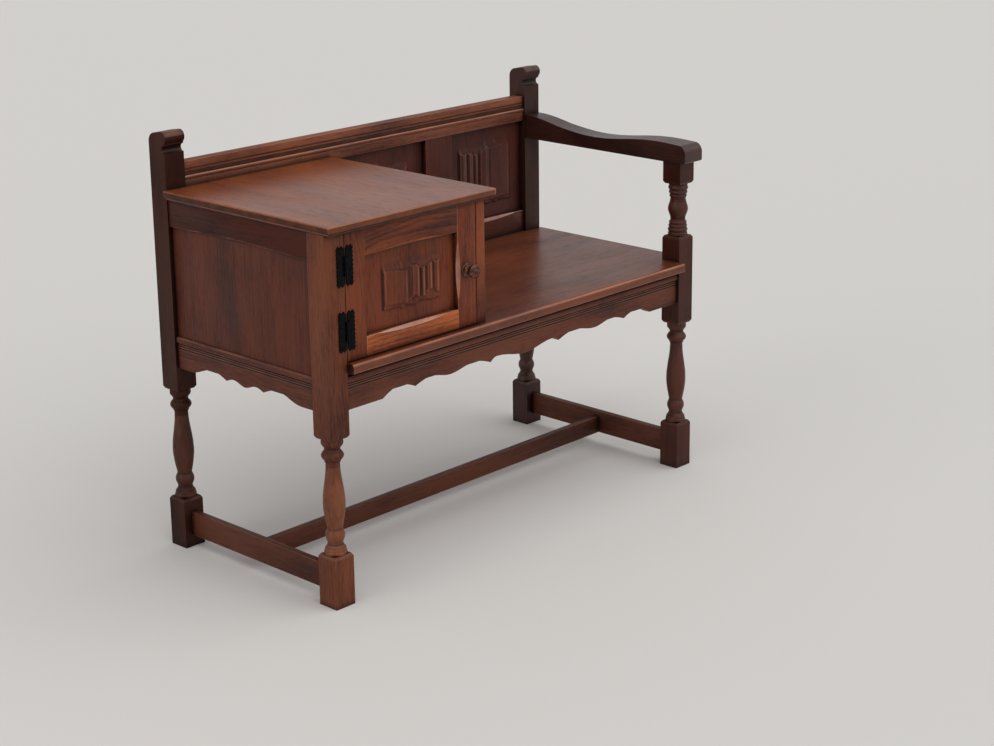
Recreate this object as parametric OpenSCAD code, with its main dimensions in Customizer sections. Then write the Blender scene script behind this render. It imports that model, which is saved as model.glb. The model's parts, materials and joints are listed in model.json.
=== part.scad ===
// Telephone bench: a joined oak seat with a small cupboard at its left end and an arm at its right end.
// The front faces -Y, the arm is toward +X, the floor is Z = 0. Lengths are in millimetres.
// Every rail is drawn as a box between two pieces and carries one bar that forms its two tenons.
// The same bars and the edges of the panels are cut out of whatever they enter, so joints always fit.

/* [Overall] */
// Width over the posts
bench_width = 1000; // [900:10:1300]
// Depth over the posts
bench_depth = 467; // [430:1:560]
// Height of the seat
seat_height = 445; // [420:1:500]
// Height of the back posts above the seat
back_rise = 356; // [330:1:440]
// Height of the cupboard's top above the seat
cupboard_rise = 250; // [240:1:280]
// Height of the arm's underside above the seat
arm_rise = 205; // [190:1:220]
// Number of sides of a drawn circle
round_sides = 64; // [32:8:128]

/* [Posts] */
// Side of a post
post_side = 44; // [40:1:50]
// Height of the square foot
foot_height = 92; // [84:1:100]
// Height where the square block under the seat begins
block_height = 316; // [300:1:330]
// Top of the block at the arm's post, above the seat
arm_block_rise = 46; // [36:1:60]
// Bottom of the small block under the arm, below the arm
arm_block_drop = 41; // [34:1:50]
// Height of the sloped shoulder that ends a block
shoulder_height = 5; // [3:0.5:6]
// Inset of the sloped shoulder
shoulder_inset = 3; // [2:0.5:4]
// Radius of the pin between post and arm
arm_pin_radius = 9; // [6:0.5:12]
// Height of the pin between post and arm
arm_pin_height = 16; // [10:1:18]

/* [Post heads] */
// Radius of the rolled front of a head
nose_radius = 12; // [9:0.5:14]
// How far the roll stands in front of the post
nose_reach = 4.6; // [2:0.2:6]
// Radius of the rounded back of a head
crown_radius = 18; // [12:0.5:20]
// Fall of the head's top from front to back
crown_fall = 3; // [1:0.5:5]
// Radius of the cove under the roll
cove_radius = 7.5; // [5:0.5:9]
// Height of the ledge below the head's top
ledge_drop = 40; // [36:1:46]

/* [Stretchers] */
// Clear height under the stretchers
stretcher_lift = 24; // [20:1:34]
// Height of a side stretcher
side_stretcher_height = 47; // [40:1:60]
// Height of the long stretcher
long_stretcher_height = 36; // [32:1:50]
// Thickness of the stretchers
stretcher_thick = 13; // [12:1:20]

/* [Aprons] */
// Height of an apron, from its scalloped edge to the seat board
apron_height = 69; // [60:1:76]
// Thickness of an apron
apron_thick = 18; // [16:1:22]
// Depth of an apron's face behind the posts
apron_recess = 6; // [4:0.5:8]
// Height of the rounded lip along the top
lip_height = 15; // [12:0.5:18]
// How far the lip stands out from the face
lip_reach = 3; // [2:0.5:5]
// Gap of the shadow line between lip and seat
lip_gap = 7; // [5:0.5:9]
// Depth of the shadow line behind the posts
shadow_recess = 8; // [7:0.5:9]
// Radius of the two small grooves
groove_radius = 1.3; // [0.8:0.1:1.6]
// Spacing of the small grooves
groove_spacing = 4.5; // [3.5:0.5:6]
// Height of the scallops
scallop_height = 15; // [10:0.5:20]
// Depth of the back apron's face behind the back posts' front
back_apron_recess = 8; // [6:1:12]

/* [Seat board] */
// Thickness of the seat board
seat_thick = 18; // [16:1:22]
// How far the front edge stands in front of the posts
nosing_reach = 16; // [12:1:20]
// Radius along the top of the front edge
nosing_top_radius = 6; // [4:0.5:8]
// Radius along the bottom of the front edge
nosing_bottom_radius = 4; // [3:0.5:6]
// How far the right edge stands out beyond the posts
seat_side_reach = 4; // [1:1:6]

/* [Back] */
// Depth of the back frame behind the back posts' front
back_recess = 6; // [5:0.5:8]
// Thickness of the back frame
back_thick = 22; // [20:1:24]
// Top of the top rail, below the post heads
back_top_drop = 61; // [50:1:66]
// Height of the top rail
back_top_height = 52; // [48:1:60]
// Height of the bottom rail
back_bottom_height = 46; // [40:1:54]
// Width of a muntin
muntin_width = 44; // [36:1:50]
// Width of the upright between the two carved panels
muntin_middle_width = 76; // [60:1:84]
// Share of the back's carved width that the panel next to the cupboard takes
carved_share = 0.54; // [0.46:0.01:0.6]
// Height of the band along the top rail's lower edge
band_height = 18; // [14:1:22]
// How far the band stands out
band_reach = 2; // [1:0.5:3]
// Radius of the bead above the band
bead_radius = 4; // [3:0.5:5]

/* [Panels] */
// Depth of a plain surface behind its frame's face
panel_recess = 12; // [11:0.5:13]
// Thickness of a panel's edge
panel_thick = 6; // [5:0.5:6]
// Depth that a panel's edge enters its frame
panel_tongue = 7; // [5:0.5:8]
// Height of the carved field above the panel
field_rise = 6; // [4:0.5:8]
// Side margin of the carved field
field_side_margin = 43; // [34:1:50]
// Side margin of the carved field nearest the arm
field_arm_margin = 31; // [24:1:40]
// Top and bottom margin of the carved field
field_end_margin = 30; // [24:1:36]
// Depth of the carved folds
fold_depth = 4; // [2:0.5:5]
// Depth of the cut ends of the folds
fold_end_depth = 11; // [6:0.5:14]

/* [Cupboard] */
// Width of the door's opening, from post to side
door_opening = 321; // [290:1:340]
// Thickness of the cupboard's right side
side_thick = 22; // [20:1:26]
// Thickness of the cupboard's top board
top_thick = 17; // [15:1:20]
// Overhang of the top board in front
top_front_reach = 20; // [14:1:24]
// Overhang of the top board at the left
top_left_reach = 8; // [6:1:12]
// Overhang of the top board at the right
top_right_reach = 15; // [10:1:20]
// Radius of the top board's free corner
top_corner_radius = 8; // [4:0.5:12]
// Radius along the top board's upper edge
top_edge_radius = 3; // [2:0.5:4]
// Cove along the top board's lower edge
top_cove_radius = 6; // [4:0.5:8]
// Height of the top rails of the cupboard's sides
cupboard_rail_height = 50; // [44:1:56]
// Height of the bottom rail of the right side
side_bottom_height = 40; // [34:1:46]
// Thickness of the left top rail
left_rail_thick = 20; // [18:1:24]
// Depth of the left top rail behind the posts
left_rail_recess = 2; // [1:0.5:3]
// Thickness of the left panel
left_panel_thick = 8; // [6:0.5:8]
// Depth of the left panel behind the posts
left_panel_recess = 8; // [8:0.5:9]
// Height of the rail behind the door's top
front_rail_height = 32; // [26:1:38]
// Thickness of the rail behind the door's top
front_rail_thick = 20; // [16:1:24]

/* [Door] */
// Thickness of the door
door_thick = 20; // [18:1:22]
// Width of a door stile
door_stile = 46; // [38:1:52]
// Height of the door's top rail
door_top_height = 50; // [42:1:56]
// Height of the door's bottom rail
door_bottom_height = 36; // [30:1:44]
// Gap around the door
door_gap = 1.5; // [1:0.1:2.5]
// Gap between the door and the rail behind it
stop_gap = 2; // [1.8:0.1:3]
// Angle to which the door opens
door_swing = 0; // [0:5:170]

/* [Joints] */
// Thickness of every tenon
tenon_thick = 8; // [6:0.5:8]
// Shoulder above and below a tenon
tenon_shoulder = 10; // [9:0.5:11]
// Reach of a tenon into a post
post_reach = 18; // [12:1:20]
// Reach of a tenon in light frames
light_reach = 12; // [8:1:14]
// Reach of the short tenons of the rail behind the door
stub_reach = 6; // [4:0.5:6]
// Reach of a tenon into a door stile
door_reach = 24; // [16:1:32]
// Length of a stopped chamfer as a share of its edge
chamfer_share = 0.8; // [0.6:0.05:0.95]
// Depth of a stopped chamfer
chamfer_depth = 4.2; // [2:0.2:5]

/* [Arm] */
// Greatest thickness of the arm
arm_thick = 50; // [44:1:54]
// Width of the arm at the front
arm_front_width = 55; // [48:1:60]
// Width of the arm at the back
arm_back_width = 41; // [36:1:44]
// How far the arm stands in front of its post
arm_reach = 16; // [10:1:24]
// Radius of the arm's nose
arm_nose_radius = 18; // [12:1:20]
// Radius under the arm's nose
arm_heel_radius = 5; // [3:1:8]
// Height of the tenon at the arm's back
arm_tenon_height = 22; // [16:1:28]

/* [Hinges] */
// Height of a hinge leaf
hinge_height = 72; // [60:1:84]
// Width of the bar of a leaf
leaf_width = 15.4; // [12:0.2:17]
// Distance of the bar from the hinge line beside the knuckle
leaf_offset = 3.6; // [3.6:0.1:5]
// Distance of the bar's ends from the hinge line
leaf_gap = 1.75; // [1.5:0.05:2.5]
// Thickness of a leaf
leaf_thick = 2; // [1.5:0.1:2.5]
// Radius of the knuckle
knuckle_radius = 3; // [2.5:0.1:3.5]
// Height of the knuckle
knuckle_height = 34; // [26:1:40]
// Radius of the hinge pin
hinge_pin_radius = 1.3; // [1:0.1:1.6]
// Gap between knuckle and wood
knuckle_clearance = 0.3; // [0.3:0.05:0.6]
// Clearance of the pin in the door's leaf
pin_clearance = 0.05; // [0.02:0.01:0.1]
// Number of points along a leaf's edge
leaf_teeth = 8; // [6:1:10]
// Depth of the points
tooth_depth = 2.2; // [1:0.1:2.4]
// Height of the pointed ends
leaf_tip = 6; // [4:0.5:8]
// Height of the upper hinge above the seat
upper_hinge_rise = 172; // [150:1:190]
// Height of the lower hinge above the seat
lower_hinge_rise = 57; // [45:1:70]
// Radius of a nail head
nail_radius = 2.2; // [1.6:0.1:2.6]
// Height of a nail head
nail_rise = 1; // [0.6:0.1:1.4]
// Radius of a nail's shank
shank_radius = 0.9; // [0.6:0.1:1.2]
// Length of a nail's shank in the wood
shank_length = 10; // [6:1:14]

/* [Knob and catch] */
// Height of the knob above the seat
knob_rise = 107; // [90:1:125]
// Radius of the knob's head
knob_radius = 13.5; // [10:0.5:15]
// How far the knob stands out
knob_reach = 27; // [22:1:32]
// Radius of the knob's spigot
spigot_radius = 4; // [3:0.5:5]
// Length of the knob's spigot in the door
spigot_length = 14; // [8:1:16]
// Width of the magnetic catch
catch_width = 34; // [26:1:44]
// Height of the magnetic catch
catch_height = 11; // [8:0.5:14]
// Depth of the magnetic catch
catch_depth = 15; // [12:0.5:18]
// Thickness of the striking plate
strike_thick = 1.4; // [1:0.1:1.6]
// Distance of the catch from the cupboard's right side
catch_inset = 12; // [6:1:20]

/* [Corner blocks] */
// Leg of a corner block along the aprons
block_leg = 40; // [30:1:50]
// Height of a corner block
block_rise = 36; // [28:1:46]

/* [Hidden] */
$fn = round_sides;
quarter_turn = 90;
half_turn = 180;
// extra length of a cut beyond the surface it opens
overrun = bench_width / 500;
chamfer_sides = 720;
curve_steps = 5;

// names of the three directions, in order
AXES = "xyz";

// lines that pieces share, measured from the outer front left corner of the posts
bench_height = seat_height + back_rise;
cupboard_height = seat_height + cupboard_rise;
arm_height = seat_height + arm_rise;
post_half = post_side / 2;
right_post = bench_width - post_side;
back_post = bench_depth - post_side;
seat_bottom = seat_height - seat_thick;
apron_bottom = seat_bottom - apron_height;
lip_top = seat_bottom - lip_gap;
lip_bottom = lip_top - lip_height;
back_front = back_post + back_recess;
back_rear = back_front + back_thick;
back_top = bench_height - back_top_drop;
back_top_bottom = back_top - back_top_height;
back_bottom_top = seat_height + back_bottom_height;
top_bottom = cupboard_height - top_thick;
side_left = post_side + door_opening;
side_right = side_left + side_thick;
cupboard_rail_bottom = top_bottom - cupboard_rail_height;
muntin_1 = side_left;
carved_left = muntin_1 + muntin_width;
muntin_2 = carved_left + (right_post - carved_left - muntin_middle_width) * carved_share;
front_block_top = seat_height + arm_block_rise;
arm_block_bottom = arm_height - arm_block_drop;
arm_middle = bench_width - post_half;
apron_step = post_side - apron_recess - apron_thick;
// the finished bench is centred on the origin
shift_x = (max(bench_width + seat_side_reach, arm_middle + arm_front_width / 2) - top_left_reach) / 2;
shift_y = (bench_depth - max(knob_reach, top_front_reach, nosing_reach, arm_reach)) / 2;

// a piece's bounds are written [low corner, high corner]
side_stretcher_l = [[post_half - stretcher_thick / 2, post_side, stretcher_lift],
    [post_half + stretcher_thick / 2, back_post, stretcher_lift + side_stretcher_height]];
side_stretcher_r = [[right_post + post_half - stretcher_thick / 2, post_side, stretcher_lift],
    [right_post + post_half + stretcher_thick / 2, back_post, stretcher_lift + side_stretcher_height]];
long_stretcher_b = [[side_stretcher_l[1][0], (bench_depth - stretcher_thick) / 2, stretcher_lift],
    [side_stretcher_r[0][0], (bench_depth + stretcher_thick) / 2, stretcher_lift + long_stretcher_height]];
apron_f = [[post_side, apron_recess, apron_bottom], [right_post, apron_recess + apron_thick, lip_top]];
apron_l = [[apron_recess, post_side, apron_bottom], [apron_recess + apron_thick, back_post, lip_top]];
apron_r = [[bench_width - apron_recess - apron_thick, post_side, apron_bottom],
    [bench_width - apron_recess, back_post, lip_top]];
apron_b = [[post_side, back_post + back_apron_recess, apron_bottom],
    [right_post, back_post + back_apron_recess + apron_thick, lip_top]];
top_rail_b = [[post_side, back_front, back_top_bottom], [right_post, back_rear, back_top]];
bottom_rail_b = [[post_side, back_front, seat_height], [right_post, back_rear, back_bottom_top]];
muntin_1b = [[muntin_1, back_front, back_bottom_top], [muntin_1 + muntin_width, back_rear, back_top_bottom]];
muntin_2b = [[muntin_2, back_front, back_bottom_top],
    [muntin_2 + muntin_middle_width, back_rear, back_top_bottom]];
left_rail_b = [[left_rail_recess, post_side, cupboard_rail_bottom],
    [left_rail_recess + left_rail_thick, back_post, top_bottom]];
front_stile_b = [[side_left, 0, seat_height], [side_right, post_side, top_bottom]];
rear_stile_b = [[side_left, back_front - post_side, seat_height], [side_right, back_front, top_bottom]];
side_top_b = [[side_left, post_side, cupboard_rail_bottom], [side_right, back_front - post_side, top_bottom]];
side_bottom_b = [[side_left, post_side, seat_height],
    [side_right, back_front - post_side, seat_height + side_bottom_height]];
front_rail_y = door_thick + stop_gap;
front_rail_b = [[post_side, front_rail_y, top_bottom - front_rail_height],
    [side_left, front_rail_y + front_rail_thick, top_bottom]];

// the door
door_left = post_side + door_gap;
door_right = side_left - door_gap;
door_bottom = seat_height + door_gap;
door_top = top_bottom - door_gap;
hinge_stile_b = [[door_left, 0, door_bottom], [door_left + door_stile, door_thick, door_top]];
knob_stile_b = [[door_right - door_stile, 0, door_bottom], [door_right, door_thick, door_top]];
door_top_b = [[door_left + door_stile, 0, door_top - door_top_height],
    [door_right - door_stile, door_thick, door_top]];
door_bottom_b = [[door_left + door_stile, 0, door_bottom],
    [door_right - door_stile, door_thick, door_bottom + door_bottom_height]];
hinge_x = post_side + door_gap / 2;
hinge_y = -knuckle_radius - knuckle_clearance;
knob_x = door_right - door_stile / 2;

// openings that hold a panel: [low corner of its face, width, height]
plain_open = [[post_side, back_front, back_bottom_top],
    muntin_1 - post_side, back_top_bottom - back_bottom_top];
left_open = [[carved_left, back_front, back_bottom_top],
    muntin_2 - carved_left, back_top_bottom - back_bottom_top];
right_open = [[muntin_2 + muntin_middle_width, back_front, back_bottom_top],
    right_post - muntin_2 - muntin_middle_width, back_top_bottom - back_bottom_top];
door_open = [[door_left + door_stile, 0, door_bottom + door_bottom_height],
    door_right - door_left - 2 * door_stile, door_top - door_bottom - door_top_height - door_bottom_height];

// edge of a panel that stands in the X-Z plane, as it enters its grooves
function panel_edge(open) = [
    [open[0][0] - panel_tongue, open[0][1] + panel_recess, open[0][2] - panel_tongue],
    [open[0][0] + open[1] + panel_tongue, open[0][1] + panel_recess + panel_thick,
        open[0][2] + open[2] + panel_tongue]];
left_panel_b = [[left_panel_recess, post_side - panel_tongue, lip_top - panel_tongue],
    [left_panel_recess + left_panel_thick, back_post + panel_tongue, cupboard_rail_bottom + panel_tongue]];
side_panel_b = [[(side_left + side_right - left_panel_thick) / 2, post_side - panel_tongue,
        seat_height + side_bottom_height - panel_tongue],
    [(side_left + side_right + left_panel_thick) / 2, back_front - post_side + panel_tongue,
        cupboard_rail_bottom + panel_tongue]];

// bar that forms both tenons of a rail: its long way, its thin way and its reach at each end
function middle(b, k) = (b[0][k] + b[1][k]) / 2;
function tenon_bar(b, long, thin, reach) = [for (end = [0, 1]) [for (k = [0 : 2])
    let (out = end == 0 ? -1 : 1)
    AXES[k] == long ? b[end][k] + out * reach
        : AXES[k] == thin ? middle(b, k) + out * tenon_thick / 2
        : b[end][k] - out * tenon_shoulder]];
function meets(a, b) = min([for (k = [0 : 2]) min(b[1][k] - a[0][k], a[1][k] - b[0][k])]) > 0;

bar_side_l = tenon_bar(side_stretcher_l, "y", "x", post_reach);
bar_side_r = tenon_bar(side_stretcher_r, "y", "x", post_reach);
bar_long = tenon_bar(long_stretcher_b, "x", "y", light_reach);
bar_apron_f = tenon_bar(apron_f, "x", "y", post_reach);
bar_apron_l = tenon_bar(apron_l, "y", "x", post_reach);
bar_apron_r = tenon_bar(apron_r, "y", "x", post_reach);
bar_apron_b = tenon_bar(apron_b, "x", "y", post_reach);
bar_top = tenon_bar(top_rail_b, "x", "y", post_reach);
bar_bottom = tenon_bar(bottom_rail_b, "x", "y", post_reach);
bar_muntin_1 = tenon_bar(muntin_1b, "z", "y", light_reach);
bar_muntin_2 = tenon_bar(muntin_2b, "z", "y", light_reach);
bar_left_rail = tenon_bar(left_rail_b, "y", "x", light_reach);
bar_side_top = tenon_bar(side_top_b, "y", "x", light_reach);
bar_side_bottom = tenon_bar(side_bottom_b, "y", "x", light_reach);
bar_front_rail = tenon_bar(front_rail_b, "x", "y", stub_reach);
bar_door_top = tenon_bar(door_top_b, "x", "y", door_reach);
bar_door_bottom = tenon_bar(door_bottom_b, "x", "y", door_reach);
arm_tenon = [[arm_middle - tenon_thick, back_post - post_side, arm_height + tenon_shoulder],
    [arm_middle + tenon_thick, back_post + post_reach, arm_height + tenon_shoulder + arm_tenon_height]];
CUTS = [bar_side_l, bar_side_r, bar_long, bar_apron_f, bar_apron_l, bar_apron_r, bar_apron_b,
    bar_top, bar_bottom, bar_muntin_1, bar_muntin_2, bar_left_rail, bar_side_top, bar_side_bottom,
    bar_front_rail, bar_door_top,
    bar_door_bottom, arm_tenon, panel_edge(plain_open), panel_edge(left_open), panel_edge(right_open),
    panel_edge(door_open), left_panel_b, side_panel_b];

// outlines that flow between stations written [share along, share across, sharp = 1 or soft = 0]
function ease(a, b, t) = a == 1 && b == 1 ? t
    : a == 1 ? sin(quarter_turn * t)
    : b == 1 ? 1 - cos(quarter_turn * t)
    : (1 - cos(half_turn * t)) / 2;
function flow(s, last) = concat(
    [for (i = [0 : len(s) - 2], k = [0 : (s[i][2] == 1 && s[i + 1][2] == 1 ? 0 : curve_steps - 1)])
        let (t = k / curve_steps)
        [s[i][0] + (s[i + 1][0] - s[i][0]) * t,
            s[i][1] + (s[i + 1][1] - s[i][1]) * ease(s[i][2], s[i + 1][2], t)]],
    last ? [[s[len(s) - 1][0], s[len(s) - 1][1]]] : []);
function mirrored(points) = [for (i = [len(points) - 1 : -1 : 0]) [2 - points[i][0], points[i][1]]];

// turned leg, from the foot up: share of its height, share of half the post
leg_shares = [[0, 0.88, 1], [0.02, 0.93, 0], [0.037, 0.88, 1], [0.052, 0.86, 0], [0.062, 0.79, 1],
    [0.098, 0.63, 0], [0.11, 0.64, 1], [0.164, 0.8, 0], [0.22, 0.62, 1], [0.232, 0.64, 1], [0.444, 0.91, 0],
    [0.78, 0.58, 0], [0.8, 0.6, 1], [0.802, 0.66, 1], [0.813, 0.66, 1], [0.855, 0.91, 0], [0.897, 0.68, 1],
    [0.912, 0.64, 0], [0.963, 0.9, 0], [1, 0.86, 1]];
// turned part of the arm's post
arm_post_shares = [[0, 0.88, 1], [0.04, 0.9, 0], [0.075, 0.83, 1], [0.111, 0.91, 0], [0.153, 0.82, 1],
    [0.19, 0.86, 0], [0.222, 0.77, 1], [0.255, 0.82, 0], [0.287, 0.71, 1], [0.324, 0.69, 0], [0.509, 0.93, 0],
    [0.713, 0.71, 0], [0.731, 0.73, 1], [0.769, 0.8, 0], [0.796, 0.75, 1], [0.833, 0.86, 0], [0.87, 0.8, 1],
    [0.917, 0.91, 0], [0.963, 0.85, 1], [1, 0.88, 1]];
// top of the arm, from its nose to the back post: share of the length, share of the greatest thickness
arm_top_shares = [[0, 0.74, 1], [0.14, 0.785, 0], [0.53, 0.53, 0], [0.78, 0.735, 1], [1, 1, 0]];
// scalloped edges, from the end to the middle: share of half the length, share of the height
front_scallop_shares = [[0, 0, 1], [0.189, 0, 1], [0.281, 1, 0], [0.366, 0.27, 1], [0.452, 0.87, 0],
    [0.561, 0.33, 0], [0.693, 0.93, 0], [0.792, 0.2, 1], [0.829, 0.73, 0], [1, 0, 0]];
side_scallop_shares = [[0, 0, 1], [0.2, 0, 0], [0.52, 1, 0], [0.73, 0.27, 1], [0.84, 0.65, 0], [1, 0.15, 0]];
// folds across half of a carved field: share of half the width, share of the depth that stays
fold_shares = [[0, 0.55, 1], [0.1, 1, 0], [0.2, 0.72, 1], [0.24, 0.28, 1], [0.36, 0.88, 0], [0.46, 0.6, 1],
    [0.5, 0.15, 1], [0.62, 0.82, 0], [0.72, 0.52, 1], [0.76, 0.1, 1], [0.88, 0.8, 0], [1, 1, 0]];
// ends of the folds: share of half the width, share of the end's depth
fold_end_shares = [[0, 0.7, 1], [0.12, 0.95, 0], [0.22, 0.35, 1], [0.38, 0.85, 0], [0.5, 0.4, 1],
    [0.66, 1, 0],
    [0.76, 0.62, 1], [1, 1, 0]];
// knob, from the door out: share of its reach, share of its radius
knob_shares = [[0, 0.66, 1], [0.08, 0.72, 0], [0.18, 0.6, 1], [0.22, 0.44, 1], [0.38, 0.36, 0], [0.5, 0.5, 1],
    [0.68, 1, 0], [0.78, 0.94, 1], [0.93, 0.55, 1], [1, 0, 1]];

// shared shapes
module box(b) {
    translate(b[0])
        cube(b[1] - b[0]);
}

module placed() {
    translate([-shift_x, -shift_y, 0])
        children();
}

// takes every joint and groove that enters the piece out of it, but not the piece's own bar
module fitted(bounds, own) {
    difference() {
        children();
        for (c = CUTS)
            if (c != own && meets(bounds, c))
                box(c);
    }
}

// outline in the Y-Z plane, drawn out along X
module along_width(start, length) {
    translate([start, 0, 0])
        rotate([quarter_turn, 0, quarter_turn])
            linear_extrude(height = length)
                children();
}

// outline in the X-Z plane, drawn out along Y
module along_depth(start, length) {
    translate([0, start + length, 0])
        rotate([quarter_turn, 0, 0])
            linear_extrude(height = length)
                children();
}

// long shallow cut that fades out toward both ends of an edge along X, the wood being behind and below it
module stopped_chamfer(length) {
    chord = length * chamfer_share;
    reach = chord * chord / chamfer_depth / 8 + chamfer_depth / 2;
    rotate([quarter_turn / 2, 0, 0])
        translate([0, 0, reach - chamfer_depth])
            rotate([quarter_turn, 0, 0])
                cylinder(r = reach, h = post_side, center = true, $fn = chamfer_sides);
}

// a frame member with its tenons
module member(b, bar) {
    fitted(b, bar)
        union() {
            box(b);
            box(bar);
        }
}

// post parts
function block_outline(bottom, top, low, high) = concat(
    low ? [[shoulder_inset, bottom], [post_side - shoulder_inset, bottom],
            [post_side, bottom + shoulder_height]]
        : [[0, bottom], [post_side, bottom]],
    high ? [[post_side, top - shoulder_height], [post_side - shoulder_inset, top], [shoulder_inset, top],
            [0, top - shoulder_height]]
        : [[post_side, top], [0, top]],
    low ? [[0, bottom + shoulder_height]] : []);

module block(bottom, top, low, high) {
    intersection() {
        along_width(0, post_side)
            polygon(block_outline(bottom, top, low, high));
        along_depth(0, post_side)
            polygon(block_outline(bottom, top, low, high));
    }
}

module turned(bottom, top, shares) {
    translate([post_half, post_half, 0])
        rotate_extrude()
            polygon(concat(
                [[0, bottom - overrun], [arm_pin_radius, bottom - overrun], [arm_pin_radius, bottom]],
                [for (p = flow(shares, true)) [p[1] * post_half, bottom + p[0] * (top - bottom)]],
                [[arm_pin_radius, top], [arm_pin_radius, top + overrun], [0, top + overrun]]));
}

module leg() {
    block(0, foot_height + shoulder_height, false, true);
    turned(foot_height + shoulder_height, block_height - shoulder_height, leg_shares);
}

module head_outline() {
    nose_y = nose_radius - nose_reach;
    crown_y = post_side - crown_radius;
    crown_z = bench_height - crown_fall - crown_radius;
    ledge = bench_height - ledge_drop;
    difference() {
        union() {
            polygon([[0, ledge], [0, bench_height - nose_radius], [nose_y, bench_height],
                [crown_y, bench_height - crown_fall], [crown_y, crown_z],
                [post_side, crown_z], [post_side, ledge]]);
            translate([nose_y, bench_height - nose_radius])
                circle(r = nose_radius);
            translate([crown_y, crown_z])
                circle(r = crown_radius);
        }
        translate([0, ledge + cove_radius])
            circle(r = cove_radius);
    }
}

module back_post_shape() {
    leg();
    block(block_height - shoulder_height, bench_height - ledge_drop, true, false);
    along_width(0, post_side)
        head_outline();
}

module post(x, y) {
    bounds = [[x, y, 0], [x + post_side, y + post_side, bench_height]];
    fitted(bounds, [])
        translate([x, y, 0])
            children();
}

// aprons
module apron_outline() {
    face = apron_recess;
    rear = apron_recess + apron_thick;
    lip_radius = lip_height / 2;
    lip_centre = apron_recess - lip_reach + lip_radius;
    difference() {
        union() {
            translate([face, apron_bottom])
                square([apron_thick, lip_bottom - apron_bottom]);
            translate([lip_centre, lip_bottom])
                square([rear - lip_centre, lip_height]);
            translate([lip_centre, lip_bottom + lip_radius])
                circle(r = lip_radius);
            translate([shadow_recess, lip_top])
                square([rear - shadow_recess, seat_bottom - lip_top]);
        }
        for (k = [1, 2])
            translate([face, lip_bottom - k * groove_spacing + groove_radius])
                circle(r = groove_radius);
    }
}

module scalloped(start, length, shares) {
    half = flow(shares, true);
    edge = concat(half, [for (p = mirrored(half)) if (p[0] > 1) p]);
    polygon(concat(
        [for (p = edge) [start + p[0] * length / 2, apron_bottom + p[1] * scallop_height]],
        [[start + length, seat_bottom], [start, seat_bottom]]));
}

module apron_front() {
    color("#6a3320") placed()
        fitted(apron_f, bar_apron_f)
            union() {
                intersection() {
                    along_width(post_side, right_post - post_side)
                        apron_outline();
                    along_depth(0, post_side)
                        scalloped(post_side, right_post - post_side, front_scallop_shares);
                }
                box(bar_apron_f);
            }
}

// drawn at the left end, its outer face toward -X
module side_apron_shape() {
    intersection() {
        along_depth(post_side, back_post - post_side)
            apron_outline();
        along_width(0, post_side)
            scalloped(post_side, back_post - post_side, side_scallop_shares);
    }
}

module apron_left() {
    color("#5c2c1d") placed()
        fitted(apron_l, bar_apron_l)
            union() {
                side_apron_shape();
                box(bar_apron_l);
            }
}

module apron_right() {
    color("#5c2c1d") placed()
        fitted(apron_r, bar_apron_r)
            union() {
                translate([bench_width, 0, 0])
                    mirror([1, 0, 0])
                        side_apron_shape();
                box(bar_apron_r);
            }
}

module apron_back() {
    color("#4f2619") placed()
        fitted(apron_b, bar_apron_b)
            union() {
                box([apron_b[0], [apron_b[1][0], apron_b[1][1], seat_bottom]]);
                box(bar_apron_b);
            }
}

// corner block against a post's inner corner; the faces it meets are given as distances from that corner
module corner_block(x, y, flip_x, flip_y, gap_x, gap_y) {
    translate([x, y, seat_bottom - block_rise])
        mirror([flip_x, 0, 0])
            mirror([0, flip_y, 0])
                linear_extrude(height = block_rise)
                    polygon([[0, -gap_y], [block_leg, -gap_y], [-gap_x, block_leg], [-gap_x, 0], [0, 0]]);
}

// carved field of a panel, drawn with its low left corner at the origin and its face toward -Y
module linen_folds(width, height) {
    half = flow(fold_shares, true);
    across = concat(half, [for (p = mirrored(half)) if (p[0] > 1) p]);
    end_half = flow(fold_end_shares, true);
    ends = concat(end_half, [for (p = mirrored(end_half)) if (p[0] > 1) p]);
    ground = field_rise - fold_depth;
    intersection() {
        mirror([0, 1, 0])
            linear_extrude(height = height)
                polygon(concat(
                    [for (p = across) [p[0] * width / 2, ground + p[1] * fold_depth]],
                    [[width, -overrun], [0, -overrun]]));
        translate([0, -field_rise, 0])
            along_depth(0, field_rise + overrun)
                polygon(concat(
                    [for (p = ends) [p[0] * width / 2, fold_end_depth * (1 - p[1])]],
                    [for (i = [len(ends) - 1 : -1 : 0])
                        [ends[i][0] * width / 2, height - fold_end_depth * (1 - ends[i][1])]]));
    }
}

module carved_panel(open, margin) {
    edge = panel_edge(open);
    width = open[1] - 2 * margin;
    height = open[2] - 2 * field_end_margin;
    union() {
        box(edge);
        translate([open[0][0] + margin, edge[0][1], open[0][2] + field_end_margin])
            linen_folds(width, height);
    }
}

// posts
module post_front_left() {
    color("#7a3d22") placed()
        difference() {
            post(0, 0) {
                leg();
                block(block_height - shoulder_height, top_bottom, true, false);
            }
            nail_holes(-1, upper_hinge);
            nail_holes(-1, lower_hinge);
        }
}

module post_front_right() {
    color("#5a2b1d") placed()
        post(right_post, 0) {
            leg();
            block(block_height - shoulder_height, front_block_top + shoulder_height, true, true);
            turned(front_block_top + shoulder_height, arm_block_bottom - shoulder_height, arm_post_shares);
            block(arm_block_bottom - shoulder_height, arm_height, true, false);
            translate([post_half, post_half, arm_height - overrun])
                cylinder(r = arm_pin_radius, h = arm_pin_height + overrun);
        }
}

module post_back_left() {
    color("#54291c") placed()
        post(0, back_post)
            back_post_shape();
}

module post_back_right() {
    color("#54291c") placed()
        post(right_post, back_post)
            back_post_shape();
}

// stretchers
module side_stretcher_left() {
    color("#52281b") placed()
        member(side_stretcher_l, bar_side_l);
}

module side_stretcher_right() {
    color("#52281b") placed()
        member(side_stretcher_r, bar_side_r);
}

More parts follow.
